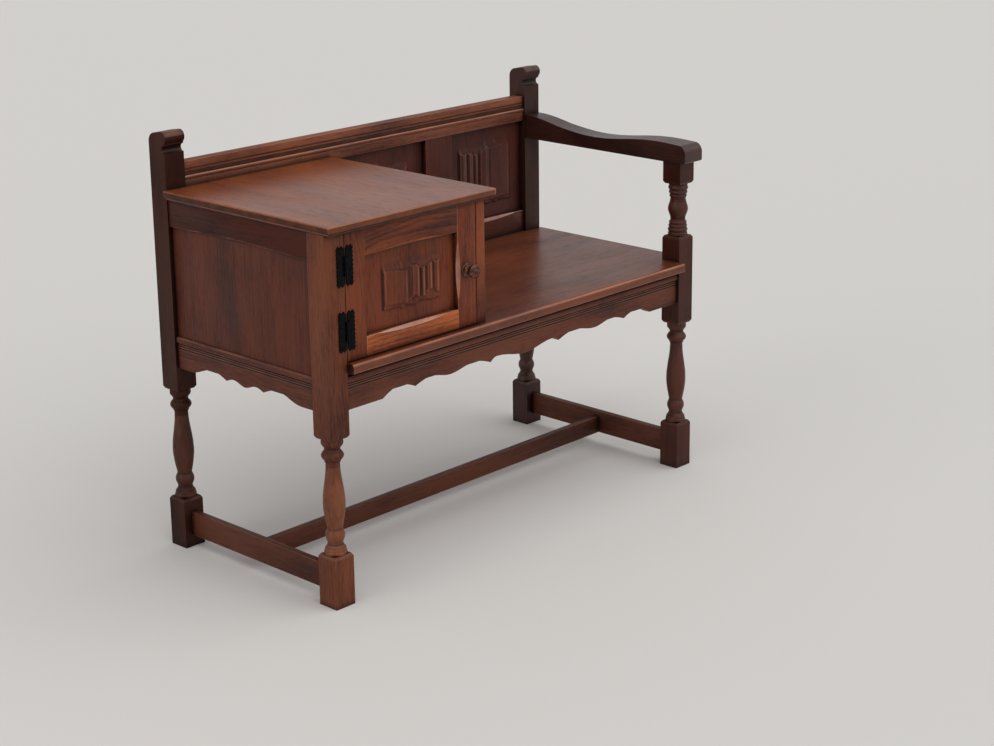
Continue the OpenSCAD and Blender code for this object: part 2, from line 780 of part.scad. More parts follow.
module long_stretcher() {
    color("#5c2d1d") placed()
        member(long_stretcher_b, bar_long);
}

// blocks that brace the corners under the seat
module corner_block_front_left() {
    color("#8a6a48") placed()
        corner_block(post_side, post_side, 0, 0, apron_step, apron_step);
}

module corner_block_front_right() {
    color("#8a6a48") placed()
        corner_block(right_post, post_side, 1, 0, apron_step, apron_step);
}

module corner_block_back_left() {
    color("#8a6a48") placed()
        corner_block(post_side, back_post, 0, 1, apron_step, back_apron_recess);
}

module corner_block_back_right() {
    color("#8a6a48") placed()
        corner_block(right_post, back_post, 1, 1, apron_step, back_apron_recess);
}

// seat board, notched round the posts, with a rounded front edge
module nosing_outline() {
    translate([-nosing_reach + nosing_top_radius, seat_height - nosing_top_radius])
        circle(r = nosing_top_radius);
    translate([-nosing_reach + nosing_bottom_radius, seat_bottom + nosing_bottom_radius])
        circle(r = nosing_bottom_radius);
    translate([-nosing_reach, seat_bottom + nosing_bottom_radius])
        square([nosing_reach, seat_thick - nosing_top_radius - nosing_bottom_radius]);
    translate([-nosing_reach + nosing_top_radius, seat_bottom])
        square([nosing_reach - nosing_top_radius, seat_thick]);
    translate([-nosing_reach + nosing_bottom_radius, seat_bottom])
        square([nosing_reach - nosing_bottom_radius, seat_thick - nosing_top_radius]);
}

module seat_board() {
    left_edge = left_panel_recess + left_panel_thick;
    right_edge = bench_width + seat_side_reach;
    color("#6d3a2a") placed()
        union() {
            along_width(post_side, right_post - post_side)
                nosing_outline();
            translate([0, 0, seat_bottom])
                linear_extrude(height = seat_thick)
                    polygon([[post_side, 0], [right_post, 0], [right_post, post_side],
                        [right_edge, post_side],
                        [right_edge, back_post], [right_post, back_post], [right_post, back_rear],
                        [post_side, back_rear], [post_side, back_post], [left_edge, back_post],
                        [left_edge, post_side], [post_side, post_side]]);
        }
}

// back frame
module top_rail_outline() {
    band_top = back_top_bottom + band_height;
    difference() {
        union() {
            translate([back_front, back_top_bottom])
                square([back_thick, back_top_height]);
            translate([back_front - band_reach, back_top_bottom])
                square([band_reach, band_height]);
            translate([back_front, band_top + bead_radius])
                circle(r = bead_radius);
        }
        for (k = [1, 2])
            translate([back_front, band_top + 2 * bead_radius + k * (groove_spacing + groove_radius)])
                circle(r = groove_radius);
    }
}

module back_top_rail() {
    color("#6b3220") placed()
        fitted(top_rail_b, bar_top)
            union() {
                along_width(post_side, right_post - post_side)
                    top_rail_outline();
                box(bar_top);
            }
}

module back_bottom_rail() {
    color("#5c2c1d") placed()
        difference() {
            member(bottom_rail_b, bar_bottom);
            for (open = [left_open, right_open])
                translate([open[0][0] + open[1] / 2, back_front, back_bottom_top])
                    stopped_chamfer(open[1]);
        }
}

module muntin_cupboard() {
    color("#5c2c1d") placed()
        member(muntin_1b, bar_muntin_1);
}

module muntin_middle() {
    color("#5c2c1d") placed()
        member(muntin_2b, bar_muntin_2);
}

module back_panel_plain() {
    color("#4b241a") placed()
        box(panel_edge(plain_open));
}

module back_panel_left() {
    color("#562a1e") placed()
        carved_panel(left_open, field_side_margin);
}

module back_panel_right() {
    color("#562a1e") placed()
        carved_panel(right_open, field_arm_margin);
}

// arm: a side outline with a hollowed top and a rounded nose, cut to a tapering plan
module arm_outline() {
    front = -arm_reach;
    nose = front + arm_nose_radius;
    nose_z = arm_height + arm_top_shares[0][1] * arm_thick - arm_nose_radius;
    top = flow(arm_top_shares, true);
    union() {
        polygon(concat(
            [[nose, nose_z], [front, nose_z], [front, arm_height + arm_heel_radius],
                [front + arm_heel_radius, arm_height + arm_heel_radius],
                [front + arm_heel_radius, arm_height], [back_post, arm_height]],
            [for (i = [len(top) - 1 : -1 : 0])
                [nose + top[i][0] * (back_post - nose), arm_height + top[i][1] * arm_thick]]));
        translate([nose, nose_z])
            circle(r = arm_nose_radius);
        translate([front + arm_heel_radius, arm_height + arm_heel_radius])
            circle(r = arm_heel_radius);
    }
}

module arm() {
    color("#45211a") placed()
        difference() {
            union() {
                intersection() {
                    along_width(right_post - post_side, 3 * post_side)
                        arm_outline();
                    translate([0, 0, arm_height])
                        linear_extrude(height = arm_thick + overrun)
                            polygon([[arm_middle - arm_front_width / 2, -arm_reach - overrun],
                                [arm_middle + arm_front_width / 2, -arm_reach - overrun],
                                [arm_middle + arm_front_width / 2, 0],
                                [arm_middle + arm_back_width / 2, back_post],
                                [arm_middle - arm_back_width / 2, back_post],
                                [arm_middle - arm_front_width / 2, 0]]);
                }
                box(arm_tenon);
            }
            translate([arm_middle, post_half, arm_height - overrun])
                cylinder(r = arm_pin_radius, h = arm_pin_height + overrun);
        }
}

// cupboard
module cupboard_left_rail() {
    color("#5a2b1d") placed()
        difference() {
            member(left_rail_b, bar_left_rail);
            translate([left_rail_recess, (post_side + back_post) / 2, cupboard_rail_bottom])
                rotate([0, 0, -quarter_turn])
                    mirror([0, 0, 1])
                        stopped_chamfer(back_post - post_side);
        }
}

module cupboard_left_panel() {
    color("#5e3324") placed()
        box(left_panel_b);
}

module cupboard_front_stile() {
    color("#8a4a26") placed()
        fitted(front_stile_b, [])
            box(front_stile_b);
}

module cupboard_rear_stile() {
    color("#5a2b1d") placed()
        fitted(rear_stile_b, [])
            box(rear_stile_b);
}

module cupboard_side_top_rail() {
    color("#5a2b1d") placed()
        member(side_top_b, bar_side_top);
}

module cupboard_side_bottom_rail() {
    color("#5a2b1d") placed()
        member(side_bottom_b, bar_side_bottom);
}

module cupboard_side_panel() {
    color("#5e3324") placed()
        box(side_panel_b);
}

module cupboard_front_rail() {
    color("#5a2b1d") placed()
        member(front_rail_b, bar_front_rail);
}

// cutter for a moulded edge that lies on the X axis, the board being toward +Y and below
module edge_cut(length) {
    translate([-length / 2, 0, 0])
        rotate([quarter_turn, 0, quarter_turn])
            linear_extrude(height = length) {
                difference() {
                    translate([-overrun, -top_edge_radius])
                        square([top_edge_radius + overrun, top_edge_radius + overrun]);
                    translate([top_edge_radius, -top_edge_radius])
                        circle(r = top_edge_radius);
                }
                translate([0, -top_thick])
                    circle(r = top_cove_radius);
            }
}

module cupboard_top() {
    left = -top_left_reach;
    right = side_right + top_right_reach;
    front = -top_front_reach;
    rear = back_front - band_reach;
    long = 2 * (right - left);
    deep = rear - front;
    color("#84503f") placed()
        difference() {
            translate([0, 0, top_bottom])
                linear_extrude(height = top_thick)
                    union() {
                        polygon([[left, front], [right - top_corner_radius, front],
                            [right, front + top_corner_radius], [right, rear], [post_side, rear],
                            [post_side, back_post], [left, back_post]]);
                        translate([right - top_corner_radius, front + top_corner_radius])
                            circle(r = top_corner_radius);
                    }
            translate([0, front, cupboard_height])
                edge_cut(long);
            translate([left, 0, cupboard_height])
                rotate([0, 0, -quarter_turn])
                    edge_cut(2 * (back_post - front));
            translate([right, 0, cupboard_height])
                rotate([0, 0, quarter_turn])
                    edge_cut(2 * deep);
        }
}

// door
module swung() {
    translate([hinge_x, hinge_y, 0])
        rotate([0, 0, -door_swing])
            translate([-hinge_x, -hinge_y, 0])
                children();
}

module door_hinge_stile() {
    color("#8b4a27") placed()
        swung()
            difference() {
                fitted(hinge_stile_b, [])
                    box(hinge_stile_b);
                nail_holes(1, upper_hinge);
                nail_holes(1, lower_hinge);
                translate([hinge_stile_b[1][0], 0, door_open[0][2] + door_open[2] / 2])
                    rotate([0, quarter_turn, 0])
                        stopped_chamfer(door_open[2]);
            }
}

module door_knob_stile() {
    color("#8b4a27") placed()
        swung()
            difference() {
                fitted(knob_stile_b, [])
                    box(knob_stile_b);
                translate([knob_stile_b[0][0], 0, door_open[0][2] + door_open[2] / 2])
                    rotate([0, -quarter_turn, 0])
                        stopped_chamfer(door_open[2]);
                translate([knob_x, spigot_length, seat_height + knob_rise])
                    rotate([quarter_turn, 0, 0])
                        cylinder(r = spigot_radius, h = spigot_length + overrun);
            }
}

module door_top_rail() {
    color("#7c3f24") placed()
        swung()
            difference() {
                member(door_top_b, bar_door_top);
                translate([middle(door_top_b, 0), 0, door_top_b[0][2]])
                    mirror([0, 0, 1])
                        stopped_chamfer(door_open[1]);
            }
}

module door_bottom_rail() {
    color("#93502a") placed()
        swung()
            difference() {
                member(door_bottom_b, bar_door_bottom);
                translate([middle(door_bottom_b, 0), 0, door_bottom_b[1][2]])
                    stopped_chamfer(door_open[1]);
            }
}

module door_panel() {
    color("#6e3523") placed()
        swung()
            carved_panel(door_open, field_side_margin);
}

module door_knob() {
    color("#5b4032") placed()
        swung()
            translate([knob_x, 0, seat_height + knob_rise])
                rotate([quarter_turn, 0, 0]) {
                    rotate_extrude()
                        polygon(concat([[0, 0]],
                            [for (p = flow(knob_shares, true)) [p[1] * knob_radius, p[0] * knob_reach]]));
                    translate([0, 0, -spigot_length])
                        cylinder(r = spigot_radius, h = spigot_length);
                }
}

// iron hinges: a toothed bar beside the hinge line, and arms that end in the knuckle
function leaf_inner(z) = abs(z) > knuckle_height / 2 + knuckle_clearance ? leaf_gap : leaf_offset;

module leaf_bar() {
    step = (hinge_height - 2 * leaf_tip) / leaf_teeth;
    low = -hinge_height / 2 + leaf_tip;
    outer = leaf_offset + leaf_width;
    bar = outer - leaf_gap;
    edge = [for (i = [0 : 2 * leaf_teeth]) [i % 2 == 0 ? 0 : 1, low + i * step / 2]];
    polygon(concat(
        [[leaf_gap + bar / 4, -hinge_height / 2]],
        [[leaf_gap + bar / 2, low - leaf_tip / 3]],
        [[leaf_gap + bar * 3 / 4, -hinge_height / 2]],
        [for (p = edge) [outer - p[0] * tooth_depth, p[1]]],
        [[leaf_gap + bar * 3 / 4, hinge_height / 2]],
        [[leaf_gap + bar / 2, -low + leaf_tip / 3]],
        [[leaf_gap + bar / 4, hinge_height / 2]],
        [for (i = [len(edge) - 1 : -1 : 0])
            [leaf_inner(edge[i][1]) + edge[i][0] * tooth_depth / 2, edge[i][1]]]));
}

// spans lists the heights of the leaf's own knuckles as [low, high] about the hinge's middle
module leaf(side, height, spans, bore) {
    translate([hinge_x, 0, height])
        difference() {
            union() {
                rotate([quarter_turn, 0, 0])
                    mirror([side < 0 ? 1 : 0, 0, 0])
                        linear_extrude(height = leaf_thick) {
                            leaf_bar();
                            for (s = spans)
                                translate([door_gap / 2, s[0]])
                                    square([leaf_offset + leaf_width / 3 - door_gap / 2, s[1] - s[0]]);
                        }
                for (s = spans)
                    translate([0, hinge_y, s[0]])
                        cylinder(r = knuckle_radius, h = s[1] - s[0]);
            }
            translate([0, hinge_y, -knuckle_height / 2 - overrun])
                cylinder(r = bore, h = knuckle_height + 2 * overrun);
        }
}

outer_spans = [[-knuckle_height / 2, -knuckle_height / 6], [knuckle_height / 6, knuckle_height / 2]];
inner_spans = [[-knuckle_height / 6 + knuckle_clearance, knuckle_height / 6 - knuckle_clearance]];
upper_hinge = seat_height + upper_hinge_rise;
lower_hinge = seat_height + lower_hinge_rise;

module post_leaf_upper() {
    color("#1b1c1e") placed()
        difference() {
            leaf(-1, upper_hinge, outer_spans, hinge_pin_radius);
            nail_holes(-1, upper_hinge);
        }
}

module post_leaf_lower() {
    color("#1b1c1e") placed()
        difference() {
            leaf(-1, lower_hinge, outer_spans, hinge_pin_radius);
            nail_holes(-1, lower_hinge);
        }
}

module door_leaf_upper() {
    color("#1b1c1e") placed()
        swung()
            difference() {
                leaf(1, upper_hinge, inner_spans, hinge_pin_radius + pin_clearance);
                nail_holes(1, upper_hinge);
            }
}

module door_leaf_lower() {
    color("#1b1c1e") placed()
        swung()
            difference() {
                leaf(1, lower_hinge, inner_spans, hinge_pin_radius + pin_clearance);
                nail_holes(1, lower_hinge);
            }
}

module pin_at(height) {
    translate([hinge_x, hinge_y, height - knuckle_height / 2])
        cylinder(r = hinge_pin_radius, h = knuckle_height);
}

module hinge_pin_upper() {
    color("#2a2b2e") placed()
        pin_at(upper_hinge);
}

module hinge_pin_lower() {
    color("#2a2b2e") placed()
        pin_at(lower_hinge);
}

// nails of one leaf
nail_height_shares = [-0.36, -0.12, 0.12, 0.36];
function nail_places(side, height) = [for (h = nail_height_shares)
    [hinge_x + side * (leaf_offset + leaf_width / 2), -leaf_thick, height + h * hinge_height]];

module nail_holes(side, height) {
    for (p = nail_places(side, height))
        translate([p[0], shank_length, p[2]])
            rotate([quarter_turn, 0, 0])
                cylinder(r = shank_radius, h = shank_length + leaf_thick + overrun);
}

module nails(side, height) {
    for (p = nail_places(side, height))
        translate(p)
            rotate([-quarter_turn, 0, 0]) {
                cylinder(r = shank_radius, h = leaf_thick + shank_length);
                translate([0, 0, -nail_rise])
                    cylinder(r1 = nail_radius / 2, r2 = nail_radius, h = nail_rise);
            }
}

module nails_post() {
    color("#1b1c1e") placed()
        for (height = [upper_hinge, lower_hinge])
            nails(-1, height);
}

module nails_door() {
    color("#1b1c1e") placed()
        swung()
            for (height = [upper_hinge, lower_hinge])
                nails(1, height);
}

// magnetic catch under the rail behind the door, and its plate on the door
catch_x = side_left - catch_inset - catch_width;
catch_z = top_bottom - front_rail_height - catch_height;
module catch_body() {
    color("#d8d2c4") placed()
        translate([catch_x, front_rail_y, catch_z])
            cube([catch_width, catch_depth, catch_height]);
}

module catch_strike() {
    color("#a9a9a9") placed()
        swung()
            translate([catch_x, door_thick, catch_z])
                cube([catch_width, strike_thick, catch_height]);
}

post_front_left();
post_front_right();
post_back_left();
post_back_right();
side_stretcher_left();
side_stretcher_right();
long_stretcher();
apron_front();
apron_left();
apron_right();
apron_back();
corner_block_front_left();
corner_block_front_right();
corner_block_back_left();
corner_block_back_right();
seat_board();
back_top_rail();
back_bottom_rail();
muntin_cupboard();
muntin_middle();
back_panel_plain();
back_panel_left();
back_panel_right();
arm();
cupboard_left_rail();
cupboard_left_panel();
cupboard_front_stile();
cupboard_rear_stile();
cupboard_side_top_rail();
cupboard_side_bottom_rail();
cupboard_side_panel();
cupboard_front_rail();
cupboard_top();
door_hinge_stile();
door_knob_stile();
door_top_rail();
door_bottom_rail();
door_panel();
door_knob();
post_leaf_upper();
post_leaf_lower();
door_leaf_upper();
door_leaf_lower();
hinge_pin_upper();
hinge_pin_lower();
nails_post();
nails_door();
catch_body();
catch_strike();
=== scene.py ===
# %% [markdown]
# # A dark oak telephone bench
# The bench comes from the CAD frame as separate boards, rails, posts and fittings that already have their true
# sizes and joints. This lesson dresses them: it softens the edges as a finisher does with sandpaper, gives each
# board its own grain, carves the linenfold panels and sets up a camera and a soft studio light.
# Everything is in metres, in the frame's own place, so nothing has to be fitted by eye.

# %% Load the frame
import json
import math
import bmesh
import bpy
from mathutils import Matrix, Vector

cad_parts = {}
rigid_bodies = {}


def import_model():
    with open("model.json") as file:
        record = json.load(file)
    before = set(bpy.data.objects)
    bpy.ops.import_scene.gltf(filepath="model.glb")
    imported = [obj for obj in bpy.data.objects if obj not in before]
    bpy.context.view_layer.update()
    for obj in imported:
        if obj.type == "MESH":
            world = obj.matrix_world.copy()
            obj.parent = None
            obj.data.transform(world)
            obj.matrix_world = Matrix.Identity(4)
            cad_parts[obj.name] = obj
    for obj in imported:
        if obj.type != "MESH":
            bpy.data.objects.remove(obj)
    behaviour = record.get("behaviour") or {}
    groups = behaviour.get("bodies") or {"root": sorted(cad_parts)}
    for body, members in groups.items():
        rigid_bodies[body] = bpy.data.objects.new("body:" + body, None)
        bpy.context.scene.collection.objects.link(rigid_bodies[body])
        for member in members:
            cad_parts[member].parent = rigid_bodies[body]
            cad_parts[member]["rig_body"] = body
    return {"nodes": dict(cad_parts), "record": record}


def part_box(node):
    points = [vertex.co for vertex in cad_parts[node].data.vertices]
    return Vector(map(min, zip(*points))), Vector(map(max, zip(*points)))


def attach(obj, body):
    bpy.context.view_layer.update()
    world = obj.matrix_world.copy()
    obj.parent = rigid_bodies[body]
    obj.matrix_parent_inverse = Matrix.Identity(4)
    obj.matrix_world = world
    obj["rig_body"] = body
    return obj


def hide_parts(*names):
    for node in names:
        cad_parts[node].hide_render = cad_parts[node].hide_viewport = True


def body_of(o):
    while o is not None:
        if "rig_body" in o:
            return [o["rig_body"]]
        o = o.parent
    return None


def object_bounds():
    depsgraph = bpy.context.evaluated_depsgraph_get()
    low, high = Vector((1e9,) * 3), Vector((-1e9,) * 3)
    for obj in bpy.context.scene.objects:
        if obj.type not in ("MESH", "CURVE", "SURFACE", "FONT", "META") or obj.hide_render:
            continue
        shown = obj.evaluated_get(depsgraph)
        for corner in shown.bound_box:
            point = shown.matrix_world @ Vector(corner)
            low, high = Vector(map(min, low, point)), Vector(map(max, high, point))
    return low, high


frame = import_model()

cad_low, cad_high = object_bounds()
nodes = frame["nodes"]
print("CAD box", [round(v, 4) for v in cad_low], [round(v, 4) for v in cad_high], "nodes", len(nodes))

# %% [markdown]
# ## The camera
# The camera comes first, because every later choice is judged through it. It stands to the front left of the
# bench, above the cupboard's top, with a long lens that keeps the posts nearly parallel. The lens is shifted a
# little, because the picture was cut from a taller one. A point is given in the bench's own measure, from the
# outer front corner of the left foot, and moved to the frame.

# %% Place the camera
TOP_OVERHANG, DEPTH_OVER_POSTS = 0.008, 0.467
PICTURE_WIDTH, SENSOR_WIDTH = 994, 36
FOCAL_PIXELS = 1990.8
AZIMUTH, ELEVATION, ROLL = -46.432, 15.478, -0.715
CAMERA_PLACE = (-2.138, -2.4312, 1.4598)
corner = Vector((cad_low.x + TOP_OVERHANG, cad_high.y - DEPTH_OVER_POSTS, 0))


def from_corner(x, y, z):
    return Vector((x, y, z)) + corner


def set_camera():
    data = bpy.data.cameras.new("camera")
    camera = bpy.data.objects.new("camera", data)
    bpy.context.scene.collection.objects.link(camera)
    azimuth, elevation, roll = math.radians(AZIMUTH), math.radians(ELEVATION), math.radians(ROLL)
    back = Vector((math.sin(azimuth) * math.cos(elevation), -math.cos(azimuth) * math.cos(elevation),
                   math.sin(elevation)))
    right = Vector((0, 0, 1)).cross(back).normalized()
    up = back.cross(right)
    side = right * math.cos(roll) + up * math.sin(roll)
    top = up * math.cos(roll) - right * math.sin(roll)
    turn = Matrix((side, top, back)).transposed().to_4x4()
    camera.matrix_world = Matrix.Translation(from_corner(*CAMERA_PLACE)) @ turn
    data.sensor_width = SENSOR_WIDTH
    data.lens = SENSOR_WIDTH * FOCAL_PIXELS / PICTURE_WIDTH
    data.shift_y = -0.0755
    data.clip_start, data.clip_end = 0.05, 60
    bpy.context.scene.camera = camera
    return camera


camera = set_camera()
print("camera at", [round(v, 3) for v in camera.location], "lens", round(camera.data.lens, 1))

# %% [markdown]
# ## Small tools for shader nodes
# A finish is a tree of nodes. These helpers add one node with its values and join sockets, so that each finish
# below reads as a list of what it does. Colours are written as a paint chart gives them, from 0 to 255, and
# turned into the linear light that a shader works in.

# %% Node helpers
def tone(red, green, blue):
    def linear(value):
        value = value / 255
        return value / 12.92 if value <= 0.04045 else ((value + 0.055) / 1.055) ** 2.4
    return (linear(red), linear(green), linear(blue), 1)


def add_node(tree, kind, values=None, **settings):
    node = tree.nodes.new(kind)
    for name, value in settings.items():
        setattr(node, name, value)
    for name, value in (values or {}).items():
        node.inputs[name].default_value = value
    return node


def join(tree, source, target):
    tree.links.new(source, target)


def new_group(name, inputs, outputs):
    tree = bpy.data.node_groups.new(name, "ShaderNodeTree")
    for label, kind, value in inputs:
        socket = tree.interface.new_socket(name=label, in_out="INPUT", socket_type=kind)
        if value is not None:
            socket.default_value = value
    for label, kind in outputs:
        tree.interface.new_socket(name=label, in_out="OUTPUT", socket_type=kind)
    return tree, tree.nodes.new("NodeGroupInput"), tree.nodes.new("NodeGroupOutput")


def stretched_noise(tree, place, scale, detail, roughness=0.5):
    stretch = add_node(tree, "ShaderNodeMapping", {"Scale": scale})
    join(tree, place, stretch.inputs["Vector"])
    noise = add_node(tree, "ShaderNodeTexNoise", {"Scale": 1.0, "Detail": detail, "Roughness": roughness})
    join(tree, stretch.outputs["Vector"], noise.inputs["Vector"])
    return noise.outputs["Fac"]


def remap(tree, value, low, high, to_low, to_high):
    node = add_node(tree, "ShaderNodeMapRange", {"From Min": low, "From Max": high, "To Min": to_low,
                                                 "To Max": to_high})
    join(tree, value, node.inputs["Value"])
    return node.outputs["Result"]


def math_node(tree, operation, first, second=None):
    node = add_node(tree, "ShaderNodeMath", operation=operation)
    for socket, value in zip(node.inputs, (first, second)):
        if value is None:
            continue
        if isinstance(value, (int, float)):
            socket.default_value = value
        else:
            join(tree, value, socket)
    return node.outputs[0]


def blend_colour(tree, factor, first, second, mode="MIX"):
    node = add_node(tree, "ShaderNodeMix", data_type="RGBA", blend_type=mode)
    for socket, value in ((node.inputs[0], factor), (node.inputs[6], first), (node.inputs[7], second)):
        if isinstance(value, (int, float, tuple)):
            socket.default_value = value
        else:
            join(tree, value, socket)
    return node.outputs[2]


print("node helpers ready")

# %% [markdown]
# ## Oak grain
# Oak grows in rings round the heart of the tree, and a board is a slice along it. So the pattern is made the
# same way: the distance from a line that runs along the board gives the rings, and a little slow noise bends
# the line, which turns straight stripes into the pointed arches of flat sawn oak. Long thin pores lie in the
# soft part of each ring. The place of a point along and across its own board comes from an attribute called
# plank, so that no two boards show the same figure and the grain always runs along the wood.

# %% Oak grain group
def make_grain():
    tree, start, end = new_group("oak grain", [
        ("Place", "NodeSocketVector", None), ("Pale", "NodeSocketColor", tone(120, 74, 52)),
        ("Deep", "NodeSocketColor", tone(70, 38, 28)), ("Pore", "NodeSocketColor", tone(36, 19, 15)),
        ("Ring width", "NodeSocketFloat", 0.007), ("Figure", "NodeSocketFloat", 0.6),
        ("Streaks", "NodeSocketFloat", 1.0), ("Clouds", "NodeSocketFloat", 1.0)],
        [("Colour", "NodeSocketColor"), ("Height", "NodeSocketFloat"), ("Pores", "NodeSocketFloat")])
    place = start.outputs["Place"]
    bend_stretch = add_node(tree, "ShaderNodeMapping", {"Scale": (7, 7, 2.2)})
    join(tree, place, bend_stretch.inputs["Vector"])
    bend = add_node(tree, "ShaderNodeTexNoise", {"Scale": 1.0, "Detail": 2.0, "Roughness": 0.45})
    join(tree, bend_stretch.outputs["Vector"], bend.inputs["Vector"])
    middle = add_node(tree, "ShaderNodeVectorMath", {1: (0.5, 0.5, 0.5)}, operation="SUBTRACT")
    join(tree, bend.outputs["Color"], middle.inputs[0])
    push = add_node(tree, "ShaderNodeVectorMath", {1: (0.075, 0.075, 0.0)}, operation="MULTIPLY")
    join(tree, middle.outputs[0], push.inputs[0])
    bent = add_node(tree, "ShaderNodeVectorMath", operation="ADD")
    join(tree, place, bent.inputs[0])
    join(tree, push.outputs[0], bent.inputs[1])
    flat = add_node(tree, "ShaderNodeVectorMath", {1: (1, 1, 0)}, operation="MULTIPLY")
    join(tree, bent.outputs[0], flat.inputs[0])
    radius = add_node(tree, "ShaderNodeVectorMath", operation="LENGTH")
    join(tree, flat.outputs[0], radius.inputs[0])
    rings = math_node(tree, "DIVIDE", radius.outputs["Value"], start.outputs["Ring width"])
    ring = math_node(tree, "FRACT", rings)
    soft = add_node(tree, "ShaderNodeValToRGB")
    soft.color_ramp.elements[0].position, soft.color_ramp.elements[0].color = 0.0, (1, 1, 1, 1)
    soft.color_ramp.elements[1].position, soft.color_ramp.elements[1].color = 1.0, (0.75, 0.75, 0.75, 1)
    for position, level in ((0.22, 0.55), (0.5, 0.12), (0.85, 0.0), (0.94, 0.2)):
        soft.color_ramp.elements.new(position).color = (level, level, level, 1)
    join(tree, ring, soft.inputs["Fac"])
    streak = stretched_noise(tree, place, (230, 230, 8), 4.0, 0.66)
    cloud = stretched_noise(tree, place, (13, 13, 4.0), 3.0)
    fleck = stretched_noise(tree, place, (330, 330, 75), 3.0, 0.6)
    pores = remap(tree, stretched_noise(tree, place, (620, 620, 34), 2.0, 0.55), 0.54, 0.68, 0, 1)
    soft_wood = remap(tree, soft.outputs["Color"], 0, 0.7, 0.3, 1)
    pores = math_node(tree, "MULTIPLY", pores, soft_wood)
    figure = math_node(tree, "MULTIPLY", soft.outputs["Color"], start.outputs["Figure"])
    streaks = math_node(tree, "MULTIPLY", remap(tree, streak, 0.3, 0.7, -0.24, 0.28), start.outputs["Streaks"])
    clouds = math_node(tree, "MULTIPLY", remap(tree, cloud, 0.33, 0.67, -0.3, 0.3), start.outputs["Clouds"])
    shade = math_node(tree, "ADD", figure, math_node(tree, "ADD", streaks, clouds))
    shade = math_node(tree, "ADD", shade, 0.28)
    shade = math_node(tree, "ADD", shade, remap(tree, fleck, 0.3, 0.7, -0.2, 0.2))
    hold = add_node(tree, "ShaderNodeClamp")
    join(tree, shade, hold.inputs["Value"])
    colour = blend_colour(tree, hold.outputs["Result"], start.outputs["Pale"], start.outputs["Deep"])
    colour = blend_colour(tree, math_node(tree, "MULTIPLY", pores, 0.45), colour, start.outputs["Pore"])
    height = math_node(tree, "SUBTRACT", math_node(tree, "MULTIPLY", soft.outputs["Color"], -0.25), pores)
    join(tree, colour, end.inputs["Colour"])
    join(tree, height, end.inputs["Height"])
    join(tree, pores, end.inputs["Pores"])
    return tree


grain_group = make_grain()
print("grain group has", len(grain_group.nodes), "nodes")

# %% [markdown]
# ## Wear, stain, painted light and polish
# Years of hands and dusters take the dark stain off the edges and leave it in grooves and gaps. The wear and
# highlight attribute says where wood was rubbed and where a highlight is painted in the paler colour, and the
# stain and shade attribute says where stain was left and where shade is painted in the darker colour; noise breaks
# both up, because wear is never even. The polish group makes the sheen uneven in the same slow way, and brighter
# where hands rub.

# %% Wear and polish groups
def make_wear_and_painted_light():
    tree, start, end = new_group("rubbed edges, stain and painted light", [
        ("Place", "NodeSocketVector", None), ("Colour", "NodeSocketColor", (0.1, 0.05, 0.03, 1)),
        ("Rubbed and highlight colour", "NodeSocketColor", tone(150, 92, 62)), ("Stain and shade colour", "NodeSocketColor", tone(30, 15, 12)),
        ("Wear and highlight", "NodeSocketFloat", 0.0), ("Shade and stain amount", "NodeSocketFloat", 0.0)],
        [("Colour", "NodeSocketColor")])
    broken = remap(tree, stretched_noise(tree, start.outputs["Place"], (30, 30, 14), 3.0, 0.6), 0.3, 0.62, 0.15, 1)
    worn_and_highlighted = math_node(tree, "MULTIPLY", start.outputs["Wear and highlight"], broken)
    colour = blend_colour(tree, worn_and_highlighted, start.outputs["Colour"], start.outputs["Rubbed and highlight colour"])
    patchy = remap(tree, stretched_noise(tree, start.outputs["Place"], (60, 60, 30), 2.0), 0.3, 0.7, 0.7, 1)
    stained_and_shaded = math_node(tree, "MULTIPLY", start.outputs["Shade and stain amount"], patchy)
    join(tree, blend_colour(tree, stained_and_shaded, colour, start.outputs["Stain and shade colour"]), end.inputs["Colour"])
    return tree


def make_polish():
    tree, start, end = new_group("hand polish", [
        ("Place", "NodeSocketVector", None), ("Sheen low", "NodeSocketFloat", 0.3),
        ("Sheen high", "NodeSocketFloat", 0.5), ("Pores", "NodeSocketFloat", 0.0),
        ("Wear and highlight", "NodeSocketFloat", 0.0), ("Gloss", "NodeSocketFloat", 0.0)],
        [("Roughness", "NodeSocketFloat"), ("Coat", "NodeSocketFloat")])
    slow = stretched_noise(tree, start.outputs["Place"], (11, 11, 6), 3.0, 0.6)
    spread = add_node(tree, "ShaderNodeMapRange", {"From Min": 0.3, "From Max": 0.7})
    join(tree, slow, spread.inputs["Value"])
    join(tree, start.outputs["Sheen low"], spread.inputs["To Min"])
    join(tree, start.outputs["Sheen high"], spread.inputs["To Max"])
    dull = math_node(tree, "MULTIPLY", start.outputs["Pores"], 0.2)
    rough = math_node(tree, "ADD", spread.outputs["Result"], dull)
    rough = math_node(tree, "SUBTRACT", rough, math_node(tree, "MULTIPLY", start.outputs["Wear and highlight"], 0.08))
    join(tree, rough, end.inputs["Roughness"])
    coat = math_node(tree, "ADD", start.outputs["Gloss"], math_node(tree, "MULTIPLY", start.outputs["Wear and highlight"], 0.3))
    join(tree, coat, end.inputs["Coat"])
    return tree


wear_and_painted_light_group, polish_group = make_wear_and_painted_light(), make_polish()
print("wear and polish groups ready")
